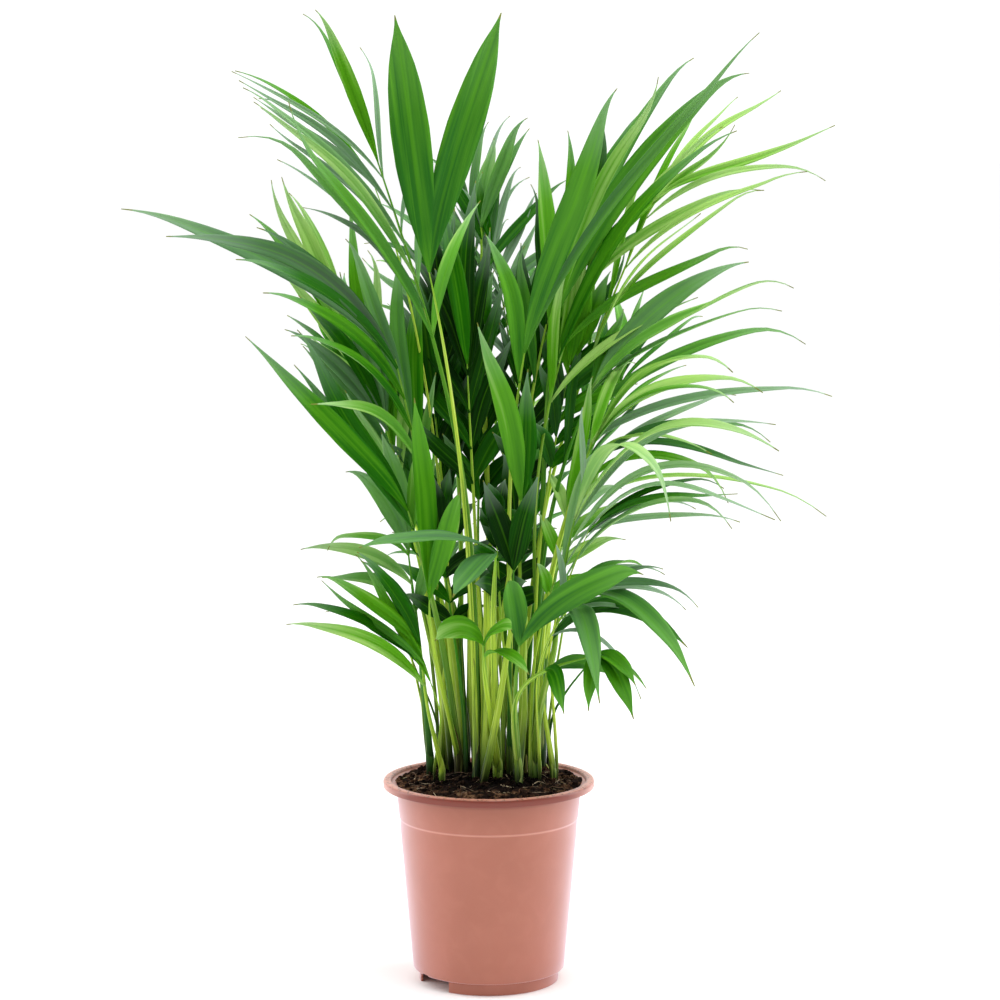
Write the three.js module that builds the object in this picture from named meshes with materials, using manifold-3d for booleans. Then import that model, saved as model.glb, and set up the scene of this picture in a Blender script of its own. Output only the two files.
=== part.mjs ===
// A young areca palm: eighteen seedlings grown together in one plastic nursery pot.
// Units are millimetres. The origin is the middle of the underside of the pot, +Z is up, and the
// plant is looked at from -Y. The pot stands on its foot.
import * as THREE from "three";
import { mergeVertices } from "three/addons/utils/BufferGeometryUtils.js";
import Module from "manifold-3d";

const wasm = await Module();
wasm.setup();

// ---- driving sizes ----
const GAP = 0.3; // clearance between neighbouring pieces

const RIM_R = 59.1; // outside of the lip
const RIM_TOP = 114.6;
const MOUTH_R = 53; // opening inside the lip
const LIP_DROP = 4.4; // height of the turned-down lip
const WALL = 1.1;
const NECK_R = 51.4; // wall just under the lip
const COLLAR_Z = 90.6; // stacking step round the wall
const COLLAR_STEP = 0.5;
const HEEL_R = 42.4; // lower end of the wall
const FOOT_H = 7;
const FOOT_R = 39;
const FLOOR = 1.3;
const POT_SIDES = 40;

const SOIL_EDGE = 111; // height of the soil at the wall
const SOIL_MOUND = 3.4; // how much the middle stands above the edge
const SOIL_LUMP = 0.9;
const SOIL_SIDES = 16;
const ROOT_Z = 100; // lower end of each seedling
const COLLAR_RISE = 2; // a cane stands straight this far above the mound before it leans

const CANE_R = 3.3; // foot of a stalk
const STALK_R = 1.45; // stalk where the leaflets start
const TIP_R = 1.3; // far end of the midrib
const BLADE_T = 0.8;
const FOLD = 0.11; // height of a broad blade's fold, as a share of its width

// Where the plant was seen from: a row's [x, z, y] is what lies at (x, z) in the upright plane
// through the pot's axis as seen from here, and y then says how far behind that plane it is.
const EYE = new THREE.Vector3(6, -1700, 474);

// The seedlings' places in the soil, [x, y].
const ROOTS = [
  [-33, 10], [-26, -6], [-24, 22], [-17, 5], [-13, 32], [-7, -12],
  [-2, 13], [3, 34], [5, -4], [17, -19], [12, 6], [17, 24],
  [25, -6], [27, 10], [30, 27], [36, -4], [-18, 41], [13, 43],
];

// One row a frond. of: its seedling. stalk: where the leaflets start, the midrib's bend and its end.
// left, right: how many leaflets, then where the tips of the first, the middle and the last one are.
// pair: the tips of the two end leaflets. wide: width of a leaflet and of the end pair.
// lift: how far a leaflet arches up, as a share of its length. look: degrees from facing the
// viewer (0) over facing up (90) to facing away (180). tone: 0 mid green, 1 grey-green,
// 2 young yellow-green, 3 deep green.
const FRONDS = [
  { of: 6, stalk: [[-20, 338, -24], [-35, 400, -30], [-62, 462, -26]],
    left: [6, [-117, 478, -110], [-134, 494, -80], [-138, 508, -20]],
    right: [4, [-8, 440, 45], [-30, 470, 50], [-64, 522, 20]],
    pair: [[-93, 543, -60], [-97, 541, 8]], wide: [9, 11], lift: 0.06, look: 20, tone: 0 },
  { of: 6, stalk: [[-26, 370, -36], [-29, 385, -39], [-33, 399, -41]],
    left: [],
    right: [],
    pair: [[-51, 539, -78], [7, 541, -70]], wide: [12, 21], lift: 0.01, look: 12, tone: 0 },
  { of: 3, stalk: [[-36, 285, -2], [-41, 320, -8], [-52, 352, -14]],
    left: [4, [-96, 322, -100], [-117, 380, -120], [-138, 408, -100]],
    right: [4, [-35, 400, 20], [-60, 418, 25], [-125, 428, 0]],
    pair: [[-177, 421, -110], [-201, 436, -50]], wide: [10, 13], lift: 0.07, look: 32, tone: 1 },
  { of: 5, stalk: [[-48, 310, 22], [-62, 338, 22], [-78, 360, 18]],
    left: [3, [-100, 360, 10], [-115, 400, 5], [-124, 446, 10]],
    right: [3, [-60, 415, 50], [-75, 440, 45], [-105, 443, 40]],
    pair: [[-116, 450, 20], [-130, 432, 0]], wide: [8, 10], lift: 0.03, look: 20, tone: 2 },
  { of: 3, stalk: [[-38, 240, 12], [-47, 280, 12], [-58, 318, 10]],
    left: [4, [-83, 331, -20], [-98, 350, -10], [-110, 372, 0]],
    right: [5, [-28, 345, 20], [-40, 380, 28], [-70, 395, 30]],
    pair: [[-105, 386, 10], [-84, 398, 20]], wide: [10, 11], lift: 0.05, look: 25, tone: 1 },
  { of: 4, stalk: [[-40, 250, -28], [-42, 258, -30], [-45, 266, -32]],
    left: [1, [-110, 347, -40], [-110, 347, -40], [-110, 347, -40]],
    right: [1, [-37, 308, -50], [-37, 308, -50], [-37, 308, -50]],
    pair: [[-135, 364, -130], [-105, 370, -90]], wide: [9, 12], lift: 0.0, look: 25, tone: 0 },
  { of: 4, stalk: [[-34, 205, -36], [-34, 210, -37], [-33, 216, -38]],
    left: [],
    right: [],
    pair: [[-41, 330, -52], [-16, 279, -54]], wide: [9, 12], lift: 0.0, look: 8, tone: 1 },
  { of: 2, stalk: [[-36, 160, -20], [-37, 175, -22], [-38, 190, -24]],
    left: [3, [-115, 201, -60], [-108, 214, -52], [-93, 231, -45]],
    right: [],
    pair: [[-73, 244, -56], [-70, 240, -34]], wide: [8, 9], lift: 0.08, look: 32, tone: 0 },
  { of: 1, stalk: [[-40, 200, 2], [-42, 222, -1], [-45, 245, -4]],
    left: [3, [-94, 225, -30], [-107, 243, -10], [-90, 250, -50]],
    right: [2, [-20, 262, 40], [-40, 280, 40], [-50, 300, 30]],
    pair: [[-78, 291, -30], [-60, 310, 20]], wide: [8, 11], lift: 0.1, look: 28, tone: 1 },
  { of: 9, stalk: [[3, 225, -44], [4, 234, -50], [4, 242, -56]],
    left: [],
    right: [],
    pair: [[-72, 246, -96], [-20, 219, -96]], wide: [9, 17], lift: 0.06, look: 55, tone: 1 },
  { of: 9, stalk: [[-3, 178, -40], [-3, 184, -44], [-3, 190, -48]],
    left: [],
    right: [1, [20, 172, -74], [20, 172, -74], [20, 172, -74]],
    pair: [[-30, 193, -78], [13, 199, -66]], wide: [11, 15], lift: 0.2, look: 50, tone: 2 },
  { of: 10, stalk: [[15, 176, -38], [16, 183, -40], [17, 190, -43]],
    left: [],
    right: [],
    pair: [[11, 229, -52], [86, 235, -90]], wide: [9, 15], lift: 0.08, look: 28, tone: 0 },
  { of: 16, stalk: [[30, 190, -16], [34, 200, -20], [41, 207, -26]],
    left: [],
    right: [3, [108, 188, 0], [104, 200, -30], [85, 236, 10]],
    pair: [[115, 172, -100], [62, 158, -100]], wide: [8, 13], lift: 0.26, look: 55, tone: 0 },
  { of: 10, stalk: [[21, 176, -46], [38, 184, -56], [60, 184, -66]],
    left: [2, [45, 150, -92], [50, 150, -95], [54, 152, -98]],
    right: [2, [70, 175, -40], [84, 170, -40], [90, 168, -50]],
    pair: [[82, 168, -90], [81, 150, -104]], wide: [7, 8], lift: 0.18, look: 50, tone: 0 },
  { of: 13, stalk: [[37, 215, -22], [41, 240, -28], [48, 262, -34]],
    left: [2, [62, 300, 10], [66, 290, 0], [74, 282, -10]],
    right: [4, [138, 261, -120], [160, 262, -130], [158, 312, -80]],
    pair: [[105, 272, -186], [160, 301, -130]], wide: [8, 13], lift: 0.2, look: 58, tone: 1 },
  { of: 14, stalk: [[39, 255, 0], [47, 280, -6], [58, 305, -12]],
    left: [2, [60, 340, 40], [70, 350, 30], [76, 352, 20]],
    right: [4, [186, 267, -60], [122, 288, -130], [140, 328, -110]],
    pair: [[150, 336, -80], [136, 347, -130]], wide: [9, 11], lift: 0.16, look: 55, tone: 2 },
  { of: 14, stalk: [[38, 290, 18], [46, 315, 16], [58, 335, 12]],
    left: [2, [56, 365, 50], [67, 371, 45], [77, 377, 40]],
    right: [3, [190, 333, 40], [172, 369, 20], [163, 378, 30]],
    pair: [[168, 396, -60], [143, 405, 20]], wide: [9, 15], lift: 0.12, look: 55, tone: 1 },
  { of: 12, stalk: [[42, 325, 34], [58, 385, 32], [92, 440, 22]],
    left: [4, [60, 440, 70], [107, 482, 60], [137, 496, 50]],
    right: [4, [115, 430, -60], [165, 451, -70], [187, 457, -50]],
    pair: [[190, 474, 0], [162, 496, 30]], wide: [7, 8], lift: 0.05, look: 38, tone: 2 },
  { of: 11, stalk: [[15, 330, -14], [17, 342, -16], [20, 354, -18]],
    left: [1, [0, 420, 20], [0, 420, 20], [0, 420, 20]],
    right: [],
    pair: [[70, 501, -110], [152, 528, -60]], wide: [9, 14], lift: 0.1, look: 22, tone: 0 },
  { of: 15, stalk: [[33, 350, 12], [34, 362, 10], [37, 375, 8]],
    left: [1, [30, 470, 40], [30, 470, 40], [30, 470, 40]],
    right: [2, [137, 477, 0], [125, 490, 10], [113, 520, 40]],
    pair: [[100, 500, -70], [141, 514, 10]], wide: [10, 17], lift: 0.1, look: 25, tone: 0 },
  { of: 8, stalk: [[-4, 345, 44], [-6, 385, 50], [-4, 425, 54]],
    left: [5, [-70, 400, 80], [-60, 440, 85], [-34, 466, 75]],
    right: [4, [45, 400, 90], [50, 440, 80], [20, 476, 70]],
    pair: [[18, 485, 50], [5, 472, 60]], wide: [7, 9], lift: 0.04, look: 15, tone: 1 },
  { of: 7, stalk: [[16, 255, -14], [17, 263, -16], [18, 272, -18]],
    left: [],
    right: [],
    pair: [[-8, 374, -36], [21, 345, -14]], wide: [9, 13], lift: 0.0, look: 12, tone: 0 },
  { of: 11, stalk: [[13, 215, -14], [14, 225, -18], [14, 233, -22]],
    left: [],
    right: [],
    pair: [[28, 287, -44], [-4, 284, -46]], wide: [9, 13], lift: 0.0, look: 12, tone: 3 },
  { of: 7, stalk: [[-8, 262, 8], [-10, 310, 12], [-12, 350, 16]],
    left: [4, [-45, 320, 20], [-50, 370, 30], [-45, 420, 40]],
    right: [4, [18, 330, 34], [12, 380, 44], [2, 425, 44]],
    pair: [[-26, 440, 34], [-8, 452, 40]], wide: [10, 12], lift: 0.0, look: 14, tone: 3 },
  { of: 17, stalk: [[-16, 300, 62], [-20, 345, 82], [-26, 385, 106]],
    left: [5, [-48, 345, 135], [-66, 385, 150], [-56, 425, 165]],
    right: [5, [2, 360, 140], [6, 395, 155], [-10, 425, 170]],
    pair: [[-42, 436, 184], [-24, 440, 187]], wide: [9, 11], lift: 0.06, look: 130, tone: 0 },
  { of: 18, stalk: [[18, 290, 66], [24, 335, 86], [32, 372, 108]],
    left: [5, [4, 345, 140], [8, 380, 155], [16, 405, 165]],
    right: [5, [60, 330, 140], [72, 370, 150], [62, 405, 165]],
    pair: [[45, 428, 180], [28, 424, 184]], wide: [9, 11], lift: 0.06, look: 130, tone: 1 },
  { of: 18, stalk: [[14, 225, 66], [18, 250, 84], [24, 270, 106]],
    left: [4, [0, 245, 140], [-4, 272, 160], [6, 298, 172]],
    right: [4, [46, 245, 135], [52, 278, 150], [46, 306, 168]],
    pair: [[30, 316, 186], [14, 312, 184]], wide: [9, 12], lift: 0.12, look: 120, tone: 0 },
  { of: 17, stalk: [[-20, 222, 62], [-26, 246, 80], [-34, 264, 100]],
    left: [4, [-58, 240, 125], [-62, 272, 140], [-56, 300, 154]],
    right: [4, [-8, 250, 130], [-8, 280, 150], [-18, 302, 164]],
    pair: [[-45, 318, 178], [-28, 314, 180]], wide: [9, 12], lift: 0.12, look: 120, tone: 1 },
  { of: 8, stalk: [[0, 250, 64], [2, 290, 84], [4, 322, 110]],
    left: [4, [-26, 290, 140], [-30, 320, 155], [-22, 350, 170]],
    right: [4, [30, 290, 145], [34, 320, 155], [26, 350, 170]],
    pair: [[-10, 366, 186], [14, 364, 184]], wide: [9, 11], lift: 0.08, look: 125, tone: 2 },
  { of: 5, stalk: [[-50, 285, 50], [-64, 314, 66], [-80, 340, 86]],
    left: [4, [-86, 322, 110], [-100, 350, 125], [-110, 372, 120]],
    right: [4, [-46, 350, 130], [-56, 378, 150], [-68, 396, 150]],
    pair: [[-94, 388, 150], [-80, 398, 160]], wide: [9, 11], lift: 0.06, look: 125, tone: 0 },
  { of: 15, stalk: [[48, 285, 50], [60, 314, 68], [74, 340, 88]],
    left: [4, [48, 350, 130], [60, 375, 150], [70, 388, 155]],
    right: [4, [95, 335, 110], [112, 352, 125], [116, 374, 140]],
    pair: [[100, 384, 150], [86, 390, 160]], wide: [9, 11], lift: 0.06, look: 125, tone: 0 },
];

// ---- small helpers ----
const UP = new THREE.Vector3(0, 0, 1);

function seen([x, z, y]) {
  const onPlane = new THREE.Vector3(x, 0, z);
  return onPlane.sub(EYE).multiplyScalar(1 - y / EYE.y).add(EYE);
}

// Seeded draws, the same on every run.
function draws(seed) {
  let state = seed >>> 0;
  return (reach) => {
    state = (Math.imul(state, 1664525) + 1013904223) >>> 0;
    return ((state / 4294967296) * 2 - 1) * reach;
  };
}

// The point at t on the curve that passes through a, m and b at 0, 1/2 and 1.
function through([a, m, b], t) {
  const wa = 2 * (t - 0.5) * (t - 1);
  const wm = -4 * t * (t - 1);
  const wb = 2 * t * (t - 0.5);
  return [0, 1, 2].map((i) => a[i] * wa + m[i] * wm + b[i] * wb);
}

function toSolid(geometry) {
  const bare = geometry.clone();
  bare.deleteAttribute("normal");
  bare.deleteAttribute("uv");
  const merged = mergeVertices(bare, 1e-4);
  return new wasm.Manifold(
    new wasm.Mesh({
      numProp: 3,
      vertProperties: merged.attributes.position.array,
      triVerts: new Uint32Array(merged.index.array),
    }),
  );
}

function toGeometry(solid) {
  const mesh = solid.getMesh();
  const geometry = new THREE.BufferGeometry();
  geometry.setAttribute("position", new THREE.BufferAttribute(mesh.vertProperties, 3));
  geometry.setIndex(new THREE.BufferAttribute(mesh.triVerts, 1));
  return geometry;
}

function named(name, solid, color, roughness) {
  const material = new THREE.MeshStandardMaterial({ color, roughness, metalness: 0 });
  const geometry = toGeometry(solid).toNonIndexed();
  geometry.computeVertexNormals();
  const mesh = new THREE.Mesh(geometry, material);
  mesh.name = name;
  return mesh;
}

const lathe = (points, sides) =>
  new THREE.LatheGeometry(points.map(([r, z]) => new THREE.Vector2(r, z)), sides).rotateX(
    Math.PI / 2,
  );

// ---- the pot ----
const LIP_T = 1.2; // the lip's own thickness
const CROWN_T = 1.8; // thickness of the rim between the wall and the lip
const NECK_DROP = 7.6; // the wall widens into the rim this far below its top
const FOOT_GAP = THREE.MathUtils.degToRad(42); // two gaps in the foot let the water out
const FOOT_GAP_AT = THREE.MathUtils.degToRad(-55.5); // middle of the left gap, from the front
const NOTCH = [5, 12, 3.2]; // drain slot in the heel, in the middle of each gap
const DRAIN_R = 4;
const DRAIN_RING = 24;
const DRAINS = 6;
const DRAIN_SIDES = 12;

const wallR = (z) =>
  HEEL_R + ((NECK_R - HEEL_R) * (z - FOOT_H)) / (RIM_TOP - NECK_DROP - FOOT_H);

function makePot() {
  const profile = [
    [0, FOOT_H],
    [FOOT_R - WALL, FOOT_H],
    [FOOT_R - WALL, 0],
    [FOOT_R, 0],
    [FOOT_R, FOOT_H],
    [HEEL_R, FOOT_H],
    [wallR(COLLAR_Z) - COLLAR_STEP, COLLAR_Z],
    [wallR(COLLAR_Z + 1), COLLAR_Z + 1],
    [NECK_R, RIM_TOP - NECK_DROP],
    [NECK_R + WALL / 2, RIM_TOP - CROWN_T],
    [RIM_R - LIP_T, RIM_TOP - CROWN_T],
    [RIM_R - LIP_T, RIM_TOP - LIP_DROP],
    [RIM_R, RIM_TOP - LIP_DROP],
    [RIM_R, RIM_TOP - LIP_T],
    [RIM_R - LIP_T, RIM_TOP],
    [MOUTH_R + LIP_T, RIM_TOP],
    [MOUTH_R, RIM_TOP - LIP_T],
    [NECK_R - WALL, RIM_TOP - NECK_DROP],
    [wallR(COLLAR_Z) - COLLAR_STEP - WALL, COLLAR_Z],
    [HEEL_R - WALL, FOOT_H + FLOOR],
    [0, FOOT_H + FLOOR],
  ];
  let pot = toSolid(lathe(profile, POT_SIDES));
  for (const turn of [FOOT_GAP_AT, FOOT_GAP_AT + Math.PI]) {
    const middle = turn - Math.PI / 2;
    const edge = (half) =>
      new THREE.Vector2(Math.cos(middle + half), Math.sin(middle + half)).multiplyScalar(RIM_R);
    const wedge = new THREE.Shape([
      new THREE.Vector2(0, 0),
      edge(-FOOT_GAP / 2),
      edge(FOOT_GAP / 2),
    ]);
    const gap = new THREE.ExtrudeGeometry(wedge, { depth: FOOT_H + 1, bevelEnabled: false });
    pot = pot.subtract(toSolid(gap.translate(0, 0, -1)));
    const slot = new THREE.BoxGeometry(...NOTCH);
    slot.translate(0, -HEEL_R, FOOT_H + FLOOR);
    pot = pot.subtract(toSolid(slot.rotateZ(turn)));
  }
  for (let i = 0; i < DRAINS; i += 1) {
    const hole = new THREE.CylinderGeometry(DRAIN_R, DRAIN_R, FLOOR * 4, DRAIN_SIDES).rotateX(Math.PI / 2);
    hole.translate(DRAIN_RING, 0, FOOT_H).rotateZ((i / DRAINS) * 2 * Math.PI);
    pot = pot.subtract(toSolid(hole));
  }
  return pot;
}

// ---- the soil ----
const SOIL_RINGS = [0.96, 0.78, 0.5, 0.2]; // rings of its top, as shares of its radius

function makeSoil(holes) {
  const soilR = (z) => wallR(z) - WALL - COLLAR_STEP - GAP;
  const under = FOOT_H + FLOOR + GAP;
  const profile = [
    [0, under],
    [soilR(FOOT_H), under],
    [soilR(COLLAR_Z), COLLAR_Z],
    [soilR(SOIL_EDGE), SOIL_EDGE - 2 * SOIL_LUMP],
    ...SOIL_RINGS.map((share) => [
      soilR(SOIL_EDGE) * share,
      SOIL_EDGE + SOIL_MOUND * (1 - share * share),
    ]),
    [0, SOIL_EDGE + SOIL_MOUND],
  ];
  const plug = lathe(profile, SOIL_SIDES);
  const merged = mergeVertices(plug.deleteAttribute("uv").deleteAttribute("normal"), 1e-4);
  const spots = merged.attributes.position;
  const lump = draws(41);
  for (let i = 0; i < spots.count; i += 1)
    if (spots.getZ(i) > SOIL_EDGE - SOIL_LUMP) spots.setZ(i, spots.getZ(i) + lump(SOIL_LUMP));
  return toSolid(merged).subtract(holes);
}

// ---- the fronds' midlines ----
const STALK_STEPS = 16; // stations from the root's collar to the first leaflet
const MIDRIB_STEPS = 6;
const STALK_SIDES = 5;
const TAPER = 1.4; // above 1, a stalk thins mostly near its foot
const UPRIGHT = 0.42; // how long a stalk keeps upright, as a share of its reach
const LEAN = 0.36; // how long it already follows the midrib's way
const ROUNDS = 70; // rounds of easing neighbouring stalks apart
const STALK_GAP = 1.5;
const EASE = 0.3; // share of what is missing that one round puts right
const PUSH_MOST = 1.5;
const STIFF = 0.15; // how much each neighbour pulls on a point, to keep the line smooth

const stationR = (i) => {
  if (i <= STALK_STEPS) return STALK_R + (CANE_R - STALK_R) * (1 - i / STALK_STEPS) ** TAPER;
  return STALK_R + ((TIP_R - STALK_R) * (i - STALK_STEPS)) / MIDRIB_STEPS;
};

// Root, then a stalk that leaves the soil upright and runs into the arched midrib.
function midline(row) {
  const [x, y] = ROOTS[row.of - 1];
  const collar = new THREE.Vector3(x, y, SOIL_EDGE + SOIL_MOUND + COLLAR_RISE);
  const [crown, bend, end] = row.stalk.map(seen);
  const reach = crown.distanceTo(collar);
  const onward = bend.clone().sub(crown).normalize();
  const stalk = new THREE.CubicBezierCurve3(
    collar,
    collar.clone().addScaledVector(UP, reach * UPRIGHT),
    crown.clone().addScaledVector(onward, -reach * LEAN),
    crown,
  );
  const midrib = new THREE.QuadraticBezierCurve3(crown, bend, end);
  return [
    new THREE.Vector3(x, y, ROOT_Z),
    ...stalk.getPoints(STALK_STEPS).slice(0, -1),
    ...midrib.getPoints(MIDRIB_STEPS),
  ];
}

// Where a midline is at height z, or null where it isn't.
function atHeight(line, z) {
  for (let i = 1; i < line.length; i += 1) {
    const low = line[i - 1].z;
    const high = line[i].z;
    if (low <= z && z <= high && high > low)
      return line[i - 1].clone().lerp(line[i], (z - low) / (high - low));
  }
  return null;
}

// Stalks of different seedlings are eased sideways until they stand clear of one another.
function easeApart(lines) {
  for (let round = 0; round < ROUNDS; round += 1) {
    const moved = lines.map((line, a) =>
      line.map((spot, i) => {
        const push = new THREE.Vector3();
        if (i < 2 || i === line.length - 1) return push;
        lines.forEach((other, b) => {
          if (FRONDS[a].of === FRONDS[b].of) return;
          const near = atHeight(other, spot.z);
          if (!near) return;
          const away = spot.clone().sub(near);
          const short = stationR(i - 1) * 2 + STALK_GAP - away.length();
          if (short > 0) push.addScaledVector(away.normalize(), Math.min(short * EASE, PUSH_MOST));
        });
        return push;
      }),
    );
    lines.forEach((line, a) => line.forEach((spot, i) => spot.add(moved[a][i])));
    for (const line of lines) {
      const before = line.map((spot) => spot.clone());
      for (let i = 3; i < line.length - 1; i += 1)
        line[i].multiplyScalar(1 - 2 * STIFF)
          .addScaledVector(before[i - 1], STIFF)
          .addScaledVector(before[i + 1], STIFF);
    }
  }
}

// The point at a share of the midrib's length, and the way the midrib runs there.
function onMidrib(line, share) {
  const place = STALK_STEPS + 1 + share * MIDRIB_STEPS;
  const i = Math.min(Math.floor(place), line.length - 2);
  const spot = line[i].clone().lerp(line[i + 1], place - i);
  return { spot, along: line[i + 1].clone().sub(line[i]).normalize() };
}

// A path whose stations are exactly the given points.
class Polyline extends THREE.Curve {
  constructor(points) {
    super();
    this.points = points;
  }
  getPoint(t, target = new THREE.Vector3()) {
    const place = t * (this.points.length - 1);
    const i = Math.min(Math.floor(place + 1e-9), this.points.length - 2);
    return target.copy(this.points[i]).lerp(this.points[i + 1], place - i);
  }
  getPointAt(u, target) {
    return this.getPoint(u, target);
  }
  getTangentAt(u, target = new THREE.Vector3()) {
    const step = 0.5 / (this.points.length - 1);
    const ahead = this.getPoint(Math.min(1, u + step));
    return target.copy(ahead).sub(this.getPoint(Math.max(0, u - step))).normalize();
  }
}

// A tapering round stalk: a ring swept along the midline, each ring then brought to its size.
function stalkSolid(line) {
  const kept = line.filter((_, i) => i < 2 || i % 2 === 0 || i === line.length - 1);
  const size = new Map(line.map((spot, i) => [spot, stationR(Math.max(0, i - 1))]));
  const ring = new THREE.Shape();
  for (let i = 0; i < STALK_SIDES; i += 1) {
    const turn = (i / STALK_SIDES) * 2 * Math.PI;
    if (i === 0) ring.moveTo(Math.cos(turn), Math.sin(turn));
    else ring.lineTo(Math.cos(turn), Math.sin(turn));
  }
  ring.closePath();
  const sweep = new Polyline(kept);
  const tube = new THREE.ExtrudeGeometry(ring, { steps: kept.length - 1, extrudePath: sweep });
  const spots = tube.attributes.position;
  const at = new THREE.Vector3();
  for (let i = 0; i < spots.count; i += 1) {
    at.fromBufferAttribute(spots, i);
    const centre = kept.reduce((a, b) => (a.distanceTo(at) < b.distanceTo(at) ? a : b));
    at.sub(centre).multiplyScalar(size.get(centre)).add(centre);
    spots.setXYZ(i, at.x, at.y, at.z);
  }
  return toSolid(tube);
}

// ---- the leaflets ----
// Width of a blade along its length, as shares of the widest place.
const WIDTHS = [[0, 0.05], [0.1, 0.42], [0.25, 0.86], [0.42, 1], [0.6, 0.86], [0.78, 0.52], [1, 0]];
const TIP_W = 0.9;
const BASE_W = 1;
const BASE_SHIFT = 0.8; // left leaflets sit this far before the midrib's middle, right ones behind
const BROAD = 14; // a blade from this width on is folded down the middle
const LONG = 125; // a blade from this length on has one more bend
const ALONG = 0.55; // how much a leaflet first follows its midrib
const NEAR = 0.33; // where the two handles of a blade's curve are, as shares of its length
const FAR = 0.68;
const FIRST_SHARE = 0.1; // leaflets stand from here to there along the midrib
const LAST_SHARE = 0.88;
const PAIR_SHARE = 0.96; // the end pair stands here
const TWIST = 28; // most degrees that a blade is turned about itself
const TIP_STRAY = [3, 3, 6]; // most that a tip strays in x, z and y
const WIDE_STRAY = 0.12;

function widthAt(u, wide) {
  const i = Math.max(1, WIDTHS.findIndex(([to]) => u <= to));
  const [[u0, w0], [u1, w1]] = [WIDTHS[i - 1], WIDTHS[i]];
  const share = w0 + ((w1 - w0) * (u - u0)) / (u1 - u0);
  return Math.max(share * wide, u < 0.5 ? BASE_W : TIP_W);
}

function bladeCurve(leaf, tip) {
  const run = tip.clone().sub(leaf.base);
  const length = run.length();
  const lift = leaf.lift * length;
  const leave = run.clone().normalize().addScaledVector(leaf.along, ALONG).normalize();
  return new THREE.CubicBezierCurve3(
    leaf.base,
    leaf.base.clone().addScaledVector(leave, length * NEAR).addScaledVector(UP, lift),
    leaf.base.clone().addScaledVector(run, FAR).addScaledVector(UP, lift),
    tip,
  );
}

// A blade: a flat sheet laid along the curve, folded a little down the middle where it is broad,
// and given its thickness. Both faces are split into triangles alike.
function bladeSolid(leaf, tip, spare = 0, from = 0) {
  const curve = bladeCurve(leaf, tip);
  const across = leaf.wide >= BROAD ? 2 : 1;
  const lengthwise = leaf.base.distanceTo(tip) > LONG ? 5 : 4;
  const sheet = new THREE.PlaneGeometry(1, 1, across, lengthwise);
  const count = sheet.attributes.position.count;
  const facing = leaf.facing.clone()
    .applyAxisAngle(tip.clone().sub(leaf.base).normalize(), leaf.twist);
  const spots = [];
  for (const face of [0.5, -0.5])
    for (let i = 0; i < count; i += 1) {
      const u = from + (1 - from) * (0.5 - sheet.attributes.position.getY(i));
      const side = sheet.attributes.position.getX(i);
      const along = curve.getTangent(u);
      const sideways = new THREE.Vector3().crossVectors(along, facing).normalize();
      const normal = new THREE.Vector3().crossVectors(sideways, along);
      const width = widthAt(u, leaf.wide) + 2 * spare;
      const fold = across === 2 ? (Math.abs(side) - 0.25) * 2 * FOLD * width : 0;
      const spot = curve.getPoint(u).addScaledVector(sideways, side * width)
        .addScaledVector(normal, face * (BLADE_T + 2 * spare) + fold);
      spots.push(spot.x, spot.y, spot.z);
    }
  const top = [...sheet.index.array];
  const faces = [];
  const open = new Set();
  for (let i = 0; i < top.length; i += 3) {
    const [a, c, b] = top.slice(i, i + 3);
    faces.push(a, b, c, a + count, c + count, b + count);
    for (const edge of [[a, b], [b, c], [c, a]]) {
      const back = `${edge[1]},${edge[0]}`;
      if (open.has(back)) open.delete(back);
      else open.add(edge.join());
    }
  }
  for (const edge of open) {
    const [a, b] = edge.split(",").map(Number);
    faces.push(b, a, a + count, b, a + count, b + count);
  }
  return new wasm.Manifold(
    new wasm.Mesh({
      numProp: 3,
      vertProperties: new Float32Array(spots),
      triVerts: new Uint32Array(faces),
    }),
  );
}

// Every leaflet of a frond: where it starts, which way it faces and where its tip was seen.
function leafletsOf(row, line, seed) {
  const draw = draws(seed);
  const look = THREE.MathUtils.degToRad(row.look);
  const facing = new THREE.Vector3(0, -Math.cos(look), Math.sin(look));
  const leaf = (side, share, tip, wide) => {
    const { spot, along } = onMidrib(line, share);
    const twist = THREE.MathUtils.degToRad(draw(TWIST));
    spot.addScaledVector(facing, side * BASE_SHIFT);
    return { base: spot, along, tip, wide, twist, facing, lift: row.lift, of: row.of };
  };
  const leaflets = [];
  [row.left, row.right].forEach(([count = 0, ...tips], hand) => {
    for (let i = 0; i < count; i += 1) {
      const t = count === 1 ? 0.5 : i / (count - 1);
      const share = count === 1 ? 0.5 : FIRST_SHARE + (LAST_SHARE - FIRST_SHARE) * t;
      const tip = through(tips, t).map((value, axis) => value + draw(TIP_STRAY[axis]));
      const wide = row.wide[0] * (1 + draw(WIDE_STRAY));
      leaflets.push(leaf(1 - 2 * hand, share, tip, wide));
    }
  });
  row.pair.forEach((tip, hand) => {
    leaflets.push(leaf(1 - 2 * hand, PAIR_SHARE, tip, row.wide[1]));
  });
  return leaflets;
}

// ---- clearing the leaflets ----
const SWING = 7; // one try swings the tip this far nearer or farther
const TRIES = 12;
const DEPTH = 187; // no tip reaches farther forwards or back than this
const CLEAR_FROM = 0.2; // nearer its base than this share, a blade may touch its own seedling
const COARSE = 0.2; // a seedling's mesh is thinned where that moves it less than this
const SEED = 1000; // the first frond's draws
const SEED_STEP = 77; // each further frond's

const boxOf = (solid) => {
  const { min, max } = solid.boundingBox();
  return new THREE.Box3(new THREE.Vector3(...min), new THREE.Vector3(...max));
};

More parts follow.
